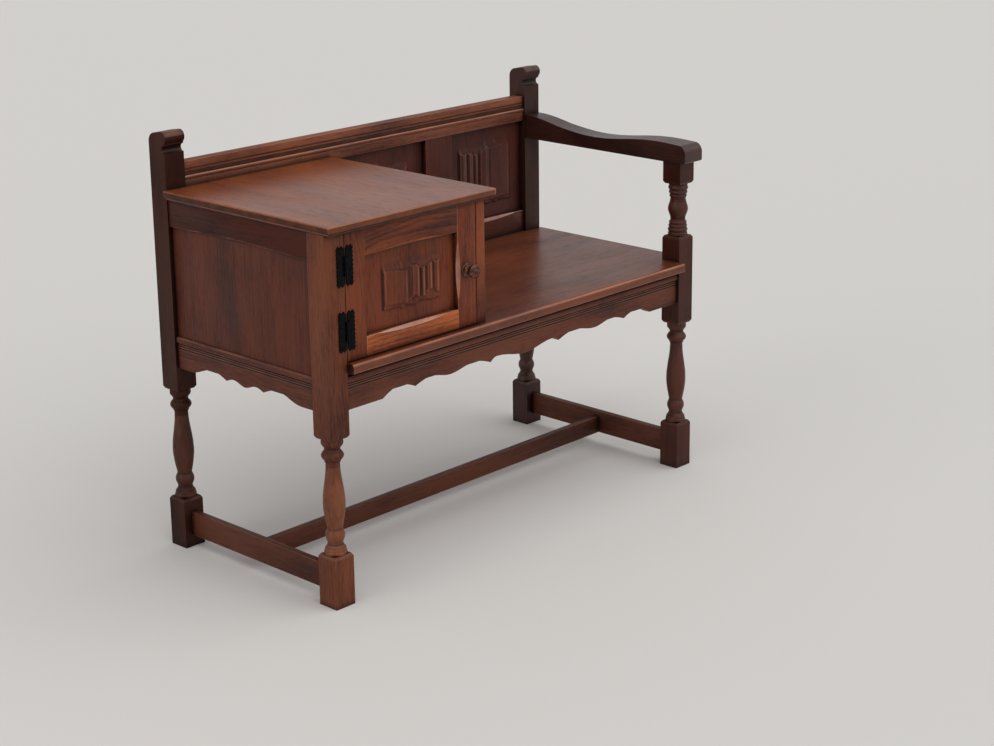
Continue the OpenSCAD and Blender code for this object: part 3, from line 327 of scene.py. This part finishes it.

# %% [markdown]
# ## Oak finishes
# One function makes every oak finish from one middle colour: pale and deep wood, pores, rubbed edges with painted
# highlights, and stain with painted shade all follow from it. Ambient occlusion darkens inner corners, as dirt and
# painted shade, and wood marked with stain and shade loses its polish. The door and the post beside it are the
# warmest, the back posts and the arm nearly black, and the right-hand posts, the arm and the back panels are
# darkened partly as painted shade. The top and the seat carry the polish, and the blocks inside are bare wood.

# %% Make the oak finishes
def oak(name, middle, gloss=0.0, sheen=(0.42, 0.6), level=0.22, ring_width=0.007, figure=0.1, streaks=0.8,
        clouds=1.5, bump=0.25, rubbed_and_highlight=None, grime_and_shade_amount=0.95):
    material = bpy.data.materials.new("oak " + name)
    material.use_nodes = True
    tree = material.node_tree
    surface = tree.nodes["Principled BSDF"]
    place = add_node(tree, "ShaderNodeAttribute", attribute_name="plank").outputs["Vector"]
    wear_and_highlight = add_node(tree, "ShaderNodeAttribute", attribute_name="wear_and_highlight").outputs["Fac"]
    stain_and_shade = add_node(tree, "ShaderNodeAttribute", attribute_name="stain_and_shade").outputs["Fac"]
    red, green, blue = middle
    grain = add_node(tree, "ShaderNodeGroup", node_tree=grain_group)
    join(tree, place, grain.inputs["Place"])
    grain.inputs["Pale"].default_value = tone(red * 1.26, green * 1.32, blue * 1.24)
    grain.inputs["Deep"].default_value = tone(red * 0.66, green * 0.56, blue * 0.64)
    grain.inputs["Pore"].default_value = tone(red * 0.34, green * 0.3, blue * 0.3)
    grain.inputs["Ring width"].default_value = ring_width
    grain.inputs["Figure"].default_value = figure
    grain.inputs["Streaks"].default_value = streaks
    grain.inputs["Clouds"].default_value = clouds
    wear_and_light_node = add_node(tree, "ShaderNodeGroup", node_tree=wear_and_painted_light_group)
    for label, source in (("Place", place), ("Colour", grain.outputs["Colour"]), ("Wear and highlight", wear_and_highlight),
                          ("Shade and stain amount", stain_and_shade)):
        join(tree, source, wear_and_light_node.inputs[label])
    # The rubbed colour also serves as painted highlight on chamfers, roundings and post heads.
    wear_and_light_node.inputs["Rubbed and highlight colour"].default_value = tone(*(rubbed_and_highlight or (red * 1.3 + 34, green * 1.4 + 30, blue * 1.4 + 26)))
    # The stain colour also serves as painted shade in gaps, under edges and on shaded faces.
    wear_and_light_node.inputs["Stain and shade colour"].default_value = tone(red * 0.4, green * 0.36, blue * 0.38)
    polish = add_node(tree, "ShaderNodeGroup", node_tree=polish_group)
    join(tree, place, polish.inputs["Place"])
    join(tree, grain.outputs["Pores"], polish.inputs["Pores"])
    join(tree, wear_and_highlight, polish.inputs["Wear and highlight"])
    polish.inputs["Gloss"].default_value = gloss
    polish.inputs["Sheen low"].default_value, polish.inputs["Sheen high"].default_value = sheen
    relief = add_node(tree, "ShaderNodeBump", {"Strength": bump, "Distance": 0.0006})
    join(tree, grain.outputs["Height"], relief.inputs["Height"])
    # Ambient occlusion darkens inner corners towards a deep colour: dirt and painted shade.
    corner_shade = add_node(tree, "ShaderNodeAmbientOcclusion", {"Distance": 0.018}, samples=8)
    grime_and_shade = remap(tree, corner_shade.outputs["AO"], 0.42, 0.85, grime_and_shade_amount, 0)
    stained_and_shaded = blend_colour(tree, grime_and_shade, wear_and_light_node.outputs["Colour"], tone(red * 0.3, green * 0.26, blue * 0.28))
    join(tree, stained_and_shaded, surface.inputs["Base Color"])
    join(tree, polish.outputs["Roughness"], surface.inputs["Roughness"])
    join(tree, relief.outputs["Normal"], surface.inputs["Normal"])
    surface.inputs["Specular IOR Level"].default_value = level
    coat = math_node(tree, "MULTIPLY", polish.outputs["Coat"], remap(tree, stain_and_shade, 0, 1, 1, 0.1))
    join(tree, coat, surface.inputs["Coat Weight"])
    surface.inputs["Coat Roughness"].default_value = 0.26
    return material


# The right front post, the right back post, the arm and the back panels are darker partly as painted shade.
TONES = {
    "post_front_left": oak("left front post", (88, 43, 25), figure=0.22, ring_width=0.006),
    "post_front_right": oak("right front post", (54, 22, 13), rubbed_and_highlight=(100, 56, 41)),
    "post_back_left": oak("left back post", (47, 20, 12), level=0.14, rubbed_and_highlight=(112, 70, 54)),
    "post_back_right": oak("right back post", (50, 26, 21), rubbed_and_highlight=(96, 62, 50)),
    "door_panel": oak("door panel", (87, 38, 21), streaks=0.8, grime_and_shade_amount=0.6),
    "door": oak("door", (92, 41, 20), figure=0.35, ring_width=0.006, clouds=1.6),
    "door_knob_stile": oak("door knob stile", (107, 48, 24), figure=0.15, streaks=0.9, clouds=1.4,
                           rubbed_and_highlight=(180, 130, 110)),
    "door_top_rail": oak("door upper rail", (96, 44, 23), figure=0.5, ring_width=0.006, clouds=1.8),
    "door_bottom_rail": oak("door lower rail", (142, 72, 38), figure=0.3, ring_width=0.008, clouds=1.3,
                            rubbed_and_highlight=(186, 140, 120)),
    "cupboard_front_stile": oak("front stile", (104, 50, 28), figure=0.12),
    "cupboard_top": oak("cupboard top", (112, 56, 31), gloss=0.45, sheen=(0.26, 0.4), level=0.15, figure=0.06,
                        ring_width=0.02, streaks=0.3, clouds=0.8, bump=0.1, rubbed_and_highlight=(150, 82, 40)),
    "seat_board": oak("seat", (92, 46, 30), gloss=0.35, sheen=(0.3, 0.44), level=0.14, figure=0.06,
                      ring_width=0.016, streaks=0.35, clouds=0.9, bump=0.1, rubbed_and_highlight=(168, 98, 64)),
    "arm": oak("arm", (50, 25, 21), gloss=0.35, sheen=(0.3, 0.44), level=0.2),
    "cupboard": oak("cupboard side", (72, 32, 20), streaks=0.95, clouds=1.45),
    "cupboard_left_rail": oak("cupboard side rail", (54, 20, 12), level=0.14),
    "back_panel": oak("back panel", (66, 28, 21), streaks=0.8, grime_and_shade_amount=0.7),
    "back_top_rail": oak("back rail", (105, 57, 40)),
    "back_bottom_rail": oak("back lower rail", (64, 31, 22), rubbed_and_highlight=(190, 140, 125)),
    "back": oak("back frame", (70, 34, 24)),
    "muntin": oak("back muntin", (64, 24, 14)),
    "stretcher": oak("stretcher", (69, 33, 21)),
    "corner_block": oak("bare wood", (122, 86, 60), sheen=(0.6, 0.75)),
    "apron": oak("apron", (80, 40, 28)),
}
print("oak finishes", len(TONES))

# %% [markdown]
# ## Metal and catch
# The hinges are painted iron with a hammered face, so their gloss comes in small dents. The knob is old brass
# that has gone brown, and the catch inside is plain plastic and steel.

# %% Make the metal finishes
def fitting(name, colour, patch, metallic, rough, dent_scale, dent, level=0.2):
    material = bpy.data.materials.new(name)
    material.use_nodes = True
    tree = material.node_tree
    surface = tree.nodes["Principled BSDF"]
    place = add_node(tree, "ShaderNodeTexCoord").outputs["Object"]
    blotch = remap(tree, stretched_noise(tree, place, (160, 160, 160), 3.0), 0.35, 0.65, 0, 1)
    join(tree, blend_colour(tree, blotch, tone(*colour), tone(*patch)), surface.inputs["Base Color"])
    join(tree, remap(tree, blotch, 0, 1, rough - 0.1, rough + 0.1), surface.inputs["Roughness"])
    hammer = add_node(tree, "ShaderNodeTexVoronoi", {"Scale": dent_scale}, feature="SMOOTH_F1")
    join(tree, place, hammer.inputs["Vector"])
    relief = add_node(tree, "ShaderNodeBump", {"Strength": dent, "Distance": 0.0008})
    join(tree, hammer.outputs["Distance"], relief.inputs["Height"])
    join(tree, relief.outputs["Normal"], surface.inputs["Normal"])
    surface.inputs["Metallic"].default_value = metallic
    surface.inputs["Specular IOR Level"].default_value = level
    return material


iron = fitting("hammered black iron", (2, 3, 4), (7, 9, 11), 0.0, 0.3, 190, 1.0, 0.06)
brass = fitting("brown old brass", (112, 74, 62), (60, 38, 33), 0.75, 0.26, 300, 0.06)
steel = fitting("plate steel", (150, 150, 148), (120, 120, 118), 1.0, 0.38, 200, 0.05)
plastic = fitting("catch plastic", (92, 58, 40), (84, 52, 36), 0.0, 0.5, 400, 0.05)
slot_finish = {"black_iron": iron, "knob_brass": brass, "plate_steel": steel, "catch_plastic": plastic}
print("metal finishes", sorted(slot_finish))

# %% [markdown]
# ## Soften the boards
# Freshly cut corners catch no light. Each wooden piece is copied from the frame, its triangles are merged back
# into clean faces, and its outer edges get a small bevel, which is what sandpaper leaves. The copy then gets the
# plank attribute, which follows the board's own length. The paler colour goes on the bevels, on the long chamfers
# and on the turned parts as wear, and as painted highlight on the chamfers, the top's upper roundings, the seat's
# nosing and the post heads. The darker colour goes into grooves and creases as stain and painted shade, and as
# painted shade on the sides of the door's gap, under the top's front edge and on the seat's end. The FACING table
# paints shade and highlight by the way a face looks. Curved faces are shaded smooth and flat faces stay flat.

# %% Helper that softens a piece
AXES = {"x": (1, 2, 0), "y": (0, 2, 1), "z": (0, 1, 2)}
FOOT_TURNING_TOP, HEAD_BOTTOM, SMALL_FACE = 0.26, 0.76, 0.0004
NOSING_REACH, GAP_SIDE, GROOVE_WIDTH, LONG_GROOVE = 0.02, 0.0009, 0.007, 0.05
SHARP = math.radians(40)


def curved_faces(shape, low=0.5, high=32):
    found = set()
    for edge in shape.edges:
        if len(edge.link_faces) == 2 and math.radians(low) < edge.calc_face_angle(0) < math.radians(high):
            found.update(edge.link_faces)
    return found


def longest(name):
    low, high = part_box(name)
    size = [high[k] - low[k] for k in range(3)]
    return "xyz"[size.index(max(size))]


def set_plank(shape, name, along, serial):
    low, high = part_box(name)
    layer = shape.verts.layers.float_vector.new("plank")
    first, second, length = AXES[along]
    for vert in shape.verts:
        here = [vert.co[k] - (low[k] + high[k]) / 2 for k in range(3)]
        vert[layer] = (here[first] + 0.035 + 0.013 * (serial % 5), here[second] + 0.05 + 0.017 * (serial % 4),
                       here[length] + 1.7 * serial)


def finish_piece(shape, name, body, material):
    data = bpy.data.meshes.new(name + "_wood")
    shape.to_mesh(data)
    shape.free()
    piece = bpy.data.objects.new(name + "_wood", data)
    bpy.context.scene.collection.objects.link(piece)
    data.materials.append(material)
    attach(piece, body)
    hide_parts(name)
    return piece


def give(face, layer, amount):
    for corner_loop in face.loops:
        corner_loop[layer] = max(corner_loop[layer], amount)


def mark_use_and_painted_light(shape, name, bevelled):
    wear_and_highlight = shape.loops.layers.float.new("wear_and_highlight")
    stain_and_shade = shape.loops.layers.float.new("stain_and_shade")
    for face in bevelled:
        # Bevels of the top that face left get no paler colour, so that side stays dark as painted shade.
        if name != "cupboard_top" or face.normal.x > -0.2:
            give(face, wear_and_highlight, 1.0)
    bevelled = set(bevelled)
    for face in shape.faces:
        size = sorted(abs(part) for part in face.normal)
        # Chamfers and other slanting faces of mouldings get the paler colour: wear and painted highlight.
        if face not in bevelled and name.startswith(MOULDED) and size[1] > 0.45 and size[0] < 0.2:
            give(face, wear_and_highlight, 0.5 if name.startswith("apron") else 1.0)
        # Painted highlight: the top's upward roundings are paler, except those facing left.
        if name == "cupboard_top" and 0.2 < face.normal.z < 0.97:
            give(face, wear_and_highlight, 0.9 if face.normal.x > -0.2 else 0.0)
        # Painted shade: the faces under the top's front edge are darkened.
        if name == "cupboard_top" and face.normal.z < -0.2 and face.normal.y < -0.3:
            give(face, stain_and_shade, 1.0)
        # Painted highlight: thin pale lines on the seat's front roundings.
        if name == "seat_board" and face.normal.y < -0.2 and 0.3 < abs(face.normal.z) < 0.97:
            give(face, wear_and_highlight, 0.95 if 0.5 < abs(face.normal.z) < 0.88 else 0.3)
        middle = face.calc_center_median()
        # Painted shadow: the seat's end face at the nosing is darkened.
        if name == "seat_board" and face.normal.x < -0.9 and middle.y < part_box(name)[0].y + NOSING_REACH:
            give(face, stain_and_shade, 1.0)
        if name in posts and face.calc_area() < SMALL_FACE and face not in bevelled:
            if size[1] > 0.05 and middle.z < FOOT_TURNING_TOP or name == "post_front_right":
                give(face, wear_and_highlight, 0.35)
            # Painted light: upward faces of the post heads are paler.
            if middle.z > HEAD_BOTTOM and face.normal.z > 0.2:
                give(face, wear_and_highlight, 0.8)
        # Narrow grooves and their corners are darkened: stain and painted shade.
        sunk = [edge for edge in face.edges
                if len(edge.link_faces) == 2 and not edge.is_convex and edge.calc_face_angle(0) > 0.12]
        if sunk and face.calc_area() / max(edge.calc_length() for edge in face.edges) < GROOVE_WIDTH:
            if max(edge.calc_length() for edge in sunk) > LONG_GROOVE:
                give(face, stain_and_shade, 0.9)
            else:
                corners = {vert for edge in sunk for vert in edge.verts}
                for corner_loop in face.loops:
                    if corner_loop.vert in corners:
                        corner_loop[stain_and_shade] = 0.7
    # Painted light by direction: faces turned one way get the paler or the darker colour from FACING.
    for piece, way, layer, amount in FACING:
        if name.startswith(piece):
            for face in shape.faces:
                if face.normal.dot(Vector(way)) > 0.95:
                    give(face, wear_and_highlight if layer == "wear_and_highlight" else stain_and_shade, amount)
    # Painted shade: the front stile's side at the door's gap is darkened.
    if name == "cupboard_front_stile":
        for face in shape.faces:
            if face.calc_center_median().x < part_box(name)[0].x + GAP_SIDE:
                give(face, stain_and_shade, 1.0)
    # Painted shade: the door's faces at its outer edges, in the gap, are darkened.
    if name.startswith("door_"):
        low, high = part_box("door_hinge_stile")[0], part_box("door_knob_stile")[1]
        for face in shape.faces:
            middle = face.calc_center_median()
            if min(middle.x - low.x, high.x - middle.x, middle.z - low.z, high.z - middle.z) < GAP_SIDE:
                give(face, stain_and_shade, 0.8)


def round_under(shape, low, high, width):
    edges = []
    for edge in shape.edges:
        middle = (edge.verts[0].co + edge.verts[1].co) / 2
        outside = middle.x < low.x + 0.0003 or middle.y < low.y + 0.008 or middle.x > high.x - 0.008
        if max(vert.co.z for vert in edge.verts) < low.z + 0.0001 and outside and edge.is_convex:
            edges.append(edge)
    bmesh.ops.bevel(shape, geom=edges, offset=width, offset_type="OFFSET", segments=4, profile=0.5,
                    affect="EDGES", clamp_overlap=False, material=-1)


def soften(name, body, material, width=0.0007, along=None, round_too=False):
    shape = bmesh.new()
    shape.from_mesh(nodes[name].data)
    bmesh.ops.remove_doubles(shape, verts=shape.verts, dist=0.00002)
    bmesh.ops.dissolve_limit(shape, angle_limit=math.radians(0.4), verts=shape.verts, edges=shape.edges)
    if name == "cupboard_top":
        round_under(shape, *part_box(name), 0.003)
    curved = curved_faces(shape)
    edges = []
    for edge in shape.edges:
        if len(edge.link_faces) != 2 or not edge.is_convex or edge.calc_face_angle(0) < SHARP:
            continue
        round_faces = sum(face in curved for face in edge.link_faces)
        if edge.calc_length() > 4 * width and (round_faces == 0 or round_too and round_faces == 1):
            edges.append(edge)
    result = bmesh.ops.bevel(shape, geom=edges, offset=width, offset_type="OFFSET", segments=2, profile=0.5,
                             affect="EDGES", clamp_overlap=False, material=-1)
    mark_use_and_painted_light(shape, name, result["faces"])
    smooth = curved_faces(shape, 0.5, 50)
    for face in shape.faces:
        face.smooth = face in smooth
    for edge in shape.edges:
        if edge.calc_face_angle(0) > SHARP:
            edge.smooth = False
    serial = sorted(nodes).index(name)
    set_plank(shape, name, along or longest(name), serial)
    return finish_piece(shape, name, body, material)


MOULDED = ("apron", "back_", "muntin", "door_", "cupboard_front", "cupboard_left", "cupboard_side")
# FACING lists piece, the way a face looks, the mark and its amount: painted shade and painted highlight by
# direction.
FACING = (("cupboard_top", (-1, 0, 0), "stain_and_shade", 1.0), ("cupboard_top", (0, -1, 0), "wear_and_highlight", 0.25),
          ("cupboard_top", (0, -1, 0), "stain_and_shade", 0.6), ("seat_board", (0, -1, 0), "wear_and_highlight", 0.12),
          ("seat_board", (0, -1, 0), "stain_and_shade", 0.2), ("cupboard_front_rail", (0, -1, 0), "stain_and_shade", 0.8))
posts = [name for name in nodes if name.startswith("post_") and "leaf" not in name]
print("ways along a board:", sorted(AXES))

# %% [markdown]
# ## Dress the frame
# Each piece keeps its node's name, with wood added. The bevel is wider on posts and boards, which hands and feet
# rub the most, and narrow where two flush faces meet, so that the joints stay tight.

# %% Soften every wooden piece but the carved panels
slot_of = {row["node"]: row["material_slot"] for row in frame["record"]["subparts"]}
carved = ("door_panel", "back_panel_left", "back_panel_right")
POST_BEVEL, BOARD_BEVEL, JOINT_BEVEL = 0.0012, 0.001, 0.0006


def finish_for(name):
    fits = [key for key in TONES if name.startswith(key) or key == "stretcher" and key in name]
    return TONES[max(fits, key=len)]


made = []
for name in sorted(nodes):
    if name in carved or slot_of[name] in slot_finish:
        continue
    width = JOINT_BEVEL
    if name in posts:
        width = POST_BEVEL
    elif name in ("seat_board", "cupboard_top", "arm"):
        width = BOARD_BEVEL
    made.append(soften(name, body_of(nodes[name])[0], finish_for(name), width,
                       along="z" if "panel" in name else None, round_too=name.startswith("apron")))
print("softened", len(made), "pieces,", sum(len(piece.data.polygons) for piece in made), "faces")

# %% [markdown]
# ## Give the fittings their metal
# Hinges, nails, pins and catch keep the frame's meshes, so only their material slots change.

# %% Assign the metals
for name in sorted(nodes):
    if slot_of[name] in slot_finish:
        for holder in nodes[name].material_slots:
            holder.material = slot_finish[slot_of[name]]
print("fittings", [name for name in sorted(nodes) if slot_of[name] in slot_finish])

# %% [markdown]
# ## Spin the knob
# The knob on the door was turned on a lathe, with fine rings cut into its face. A profile of radius and reach is
# spun round the knob's axis, inside the box of the frame's plain knob.

# %% Spin the brass knob
RINGS = ((1.0, 0.0), (1.0, 0.035), (0.86, 0.06), (0.6, 0.085), (0.52, 0.13), (0.42, 0.2), (0.38, 0.3), (0.4, 0.4),
         (0.5, 0.47), (0.72, 0.52), (0.93, 0.58), (1.0, 0.65), (0.99, 0.71), (0.93, 0.77), (0.9, 0.775),
         (0.86, 0.81), (0.83, 0.8), (0.76, 0.85), (0.7, 0.875), (0.66, 0.862), (0.58, 0.9), (0.5, 0.925),
         (0.45, 0.915), (0.36, 0.95), (0.24, 0.975), (0.18, 0.965), (0.1, 0.985), (0.0, 1.0))


def spin_knob(name, turns=72):
    low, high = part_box(name)
    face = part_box("door_knob_stile")[0].y
    radius, reach = (high.x - low.x) / 2, face - low.y
    centre = Vector(((low.x + high.x) / 2, face, (low.z + high.z) / 2))
    shape = bmesh.new()
    last = None
    for share, out in RINGS:
        point = shape.verts.new(centre + Vector((share * radius, -out * reach, 0)))
        if last:
            shape.edges.new((last, point))
        last = point
    bmesh.ops.spin(shape, geom=shape.verts[:] + shape.edges[:], cent=centre, axis=(0, 1, 0),
                   angle=math.radians(360), steps=turns, use_merge=True)
    bmesh.ops.remove_doubles(shape, verts=shape.verts, dist=0.000005)
    bmesh.ops.holes_fill(shape, edges=[edge for edge in shape.edges if edge.is_boundary], sides=0)
    bmesh.ops.recalc_face_normals(shape, faces=shape.faces)
    for item in shape.faces:
        item.smooth = len(item.verts) < 5
    data = bpy.data.meshes.new("knob_turned")
    shape.to_mesh(data)
    shape.free()
    piece = bpy.data.objects.new("knob_turned", data)
    bpy.context.scene.collection.objects.link(piece)
    data.materials.append(brass)
    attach(piece, "door")
    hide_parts(name)
    return piece


knob = spin_knob("door_knob")
print("knob faces", len(knob.data.polygons))

# %% [markdown]
# ## Carve the linenfold panels
# The carving looks like folded cloth: a raised field with soft folds that run up and down and end in waves. A
# carver works down from the flat, and this helper does the same with a fine grid. It starts as a flat sheet,
# each point moves out to the height of the carving there, and the edge is pulled back to give the panel its
# thickness. FOLDS runs across the field, from a wide flat fold to a broad one, a thin ridge and two round folds.
# The left wall is cut steep, and the right one and the top fade into the ground. Low points beside high ones are
# darkened, as stain and painted shade, most of all on slopes that face left and outside the folds, and on the door
# also at the upper ends of the folds. Ridges above their sides get the paler colour, as wear and painted
# highlight.

# %% Helper that carves a panel
FOLDS = ((0.0, 0.55), (0.03, 0.72), (0.2, 0.8), (0.38, 0.76), (0.425, 0.5), (0.455, 0.72), (0.5, 0.96),
         (0.59, 0.84), (0.63, 0.22), (0.66, 0.68), (0.685, 0.96), (0.71, 0.62), (0.73, 0.36), (0.765, 0.82),
         (0.81, 0.96), (0.84, 0.62), (0.86, 0.3), (0.885, 0.74), (0.935, 0.96), (0.97, 0.82), (1.0, 0.55))
OUTER = ((0.0, 0.003), (0.25, 0.003), (0.31, 0.0), (0.36, 0.003), (0.42, 0.0015), (0.52, 0.0), (0.62, 0.004),
         (0.72, 0.003), (0.85, 0.0), (0.93, 0.002), (1.0, 0.001))
INNER_TOP = ((0.0, 0.012), (0.2, 0.014), (0.35, 0.018), (0.42, 0.018), (0.46, 0.012), (0.56, 0.0125),
             (0.62, 0.021), (0.74, 0.02), (0.79, 0.016), (0.87, 0.014), (0.91, 0.016), (1.0, 0.0115))
INNER_BOTTOM = ((0.0, 0.011), (0.35, 0.008), (0.42, 0.007), (0.46, 0.014), (0.53, 0.016), (0.6, 0.012),
                (0.72, 0.01), (0.78, 0.02), (0.86, 0.022), (0.91, 0.013), (1.0, 0.012))
TONGUE = 0.007
FADE, STEEP, SHELF = 0.014, 0.0016, 0.003


def read_curve(points, place):
    for (x0, y0), (x1, y1) in zip(points, points[1:]):
        if place <= x1:
            share = (place - x0) / (x1 - x0)
            share = share * share * (3 - 2 * share)
            return y0 + (y1 - y0) * share
    return points[-1][1]


def step(value, width):
    share = min(1, max(0, value / width + 0.5))
    return share * share * (3 - 2 * share)


def carve(name, body, edges, end, mirrored, drop=0.0, dark_ends=0.0, rise=0.006, spacing=0.0009):
    low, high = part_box(name)
    left, right = low.x + TONGUE + edges[0], high.x - TONGUE - edges[1]
    bottom, top = low.z + TONGUE + end, high.z - TONGUE - end
    face = low.y + rise
    columns = round((high.x - low.x) / spacing)
    rows = round((high.z - low.z) / spacing)
    profile = []
    for column in range(columns + 1):
        x = low.x + (high.x - low.x) * column / columns
        across = (x - left) / (right - left)
        share = min(1, max(0, 1 - across if mirrored else across))
        fall = drop * step(share - 0.52, 0.06)
        sides = step(x - left, STEEP) * step(right - x - SHELF, 0.016)
        inside = step(x - left, 0.0018) * step(right - x - SHELF, FADE)
        profile.append((sides, inside, read_curve(FOLDS, share), read_curve(OUTER, share) + fall,
                        read_curve(INNER_TOP, share) + fall * 0.6, read_curve(INNER_BOTTOM, share)))

    def height(column, z):
        sides, inside, fold, outer, inner_top, inner_bottom = profile[min(columns, max(0, column))]
        base = 0.5 * sides * step(z - bottom - outer, 0.0035) * step(top - outer - z - SHELF, FADE)
        inner = inside * step(z - bottom - inner_bottom, 0.003) * step(top - inner_top - z, 0.004)
        return rise * (base + (min(1, fold + 0.04) - 0.5) * inner)

    levels = [[height(column, low.z + (high.z - low.z) * row / rows) for column in range(columns + 1)]
              for row in range(rows + 1)]
    shape = bmesh.new()
    bmesh.ops.create_grid(shape, x_segments=columns, y_segments=rows, size=0.5)
    bmesh.ops.scale(shape, vec=(high.x - low.x, high.z - low.z, 1), verts=shape.verts)
    bmesh.ops.rotate(shape, matrix=Matrix.Rotation(math.radians(90), 3, "X"), verts=shape.verts)
    bmesh.ops.translate(shape, vec=((low.x + high.x) / 2, face, (low.z + high.z) / 2), verts=shape.verts)
    stain_and_shade = shape.verts.layers.float.new("stain_and_shade")
    wear_and_highlight = shape.verts.layers.float.new("wear_and_highlight")
    for vert in shape.verts:
        column = round((vert.co.x - low.x) / (high.x - low.x) * columns)
        row = round((vert.co.z - low.z) / (high.z - low.z) * rows)
        here = levels[row][column]
        around = [levels[min(rows, max(0, row + up))][min(columns, max(0, column + along))]
                  for up, along in ((0, 5), (4, 0), (-4, 0), (0, -3))]
        # Darkening by higher neighbours: stain and painted shade in recesses, strongest on slopes that face left.
        stain_and_shade_amount = max((around[0] - here) / 0.0018, (around[1] - here) / 0.004, (max(around) - here) / 0.008)
        in_field = profile[min(columns, column + 2)][1]
        stain_and_shade_amount = max(stain_and_shade_amount * (1 - 0.4 * in_field), dark_ends * (around[2] - here) / 0.003)
        vert[stain_and_shade] = min(1, max(0, stain_and_shade_amount))
        # Ridges above their sides get the paler colour: wear and painted highlight.
        vert[wear_and_highlight] = min(1, max(0, (here - (around[0] + around[3]) / 2) / 0.0011)) * 0.7
        vert.co.y = face - here
    rim = [edge for edge in shape.edges if edge.is_boundary]
    pulled = bmesh.ops.extrude_edge_only(shape, edges=rim)["geom"]
    for vert in pulled:
        if isinstance(vert, bmesh.types.BMVert):
            vert.co.y = high.y
    bmesh.ops.holes_fill(shape, edges=[edge for edge in shape.edges if edge.is_boundary], sides=0)
    bmesh.ops.recalc_face_normals(shape, faces=shape.faces)
    for item in shape.faces:
        item.smooth = len(item.verts) == 4 and abs(item.normal.y) > 0.05
    set_plank(shape, name, "z", sorted(nodes).index(name))
    return finish_piece(shape, name, body, finish_for(name))


made_panels = [carve("door_panel", "door", (0.052, 0.034), 0.03, False, dark_ends=1.0),
               carve("back_panel_left", "frame", (0.043, 0.043), 0.03, False, 0.0085),
               carve("back_panel_right", "frame", (0.031, 0.031), 0.03, True, 0.0085)]
print("carved", [(piece.name, len(piece.data.polygons)) for piece in made_panels])

# %% [markdown]
# ## Floor and light
# The floor is plain and pale, and large enough to fill the picture. A very wide soft sun comes from above the
# camera's side, a low and narrower one at the left plays the window, and the world gives the rest. The pale
# backdrop is seen only by the camera and in reflections, so it never adds light to the bench.

# %% Set the floor, the suns and the world
FLOOR_HALF = 20


def make_stage():
    shape = bmesh.new()
    bmesh.ops.create_grid(shape, x_segments=1, y_segments=1, size=FLOOR_HALF)
    data = bpy.data.meshes.new("floor")
    shape.to_mesh(data)
    shape.free()
    floor = bpy.data.objects.new("floor", data)
    bpy.context.scene.collection.objects.link(floor)
    material = bpy.data.materials.new("pale floor")
    material.use_nodes = True
    surface = material.node_tree.nodes["Principled BSDF"]
    surface.inputs["Base Color"].default_value = tone(222, 219, 215)
    surface.inputs["Roughness"].default_value = 0.8
    data.materials.append(material)
    return floor


def make_world(strength, backdrop):
    world = bpy.data.worlds.new("studio")
    bpy.context.scene.world = world
    world.use_nodes = True
    tree = world.node_tree
    glow = tree.nodes["Background"]
    glow.inputs["Color"].default_value = (1, 1, 1, 1)
    glow.inputs["Strength"].default_value = strength
    seen = add_node(tree, "ShaderNodeBackground", {"Color": tone(*backdrop), "Strength": 1.0})
    path = add_node(tree, "ShaderNodeLightPath")
    either = math_node(tree, "MAXIMUM", path.outputs["Is Camera Ray"], path.outputs["Is Glossy Ray"])
    either = math_node(tree, "MAXIMUM", either, path.outputs["Is Transmission Ray"])
    mix = add_node(tree, "ShaderNodeMixShader")
    join(tree, either, mix.inputs[0])
    join(tree, glow.outputs[0], mix.inputs[1])
    join(tree, seen.outputs[0], mix.inputs[2])
    join(tree, mix.outputs[0], tree.nodes["World Output"].inputs["Surface"])


def sun(name, towards, angle, strength):
    data = bpy.data.lights.new(name, "SUN")
    data.angle, data.energy = math.radians(angle), strength
    light = bpy.data.objects.new(name, data)
    bpy.context.scene.collection.objects.link(light)
    light.rotation_euler = Vector(towards).to_track_quat("-Z", "Y").to_euler()
    return light


floor = make_stage()
key = sun("key", (-0.12, 0.6, -0.8), 95, 1.66)
window = sun("window", (0.97, -0.09, -0.23), 40, 0.81)
make_world(0.395, (197, 197, 198))
bpy.context.scene.view_settings.view_transform = "Standard"
print("suns", key.name, window.name)
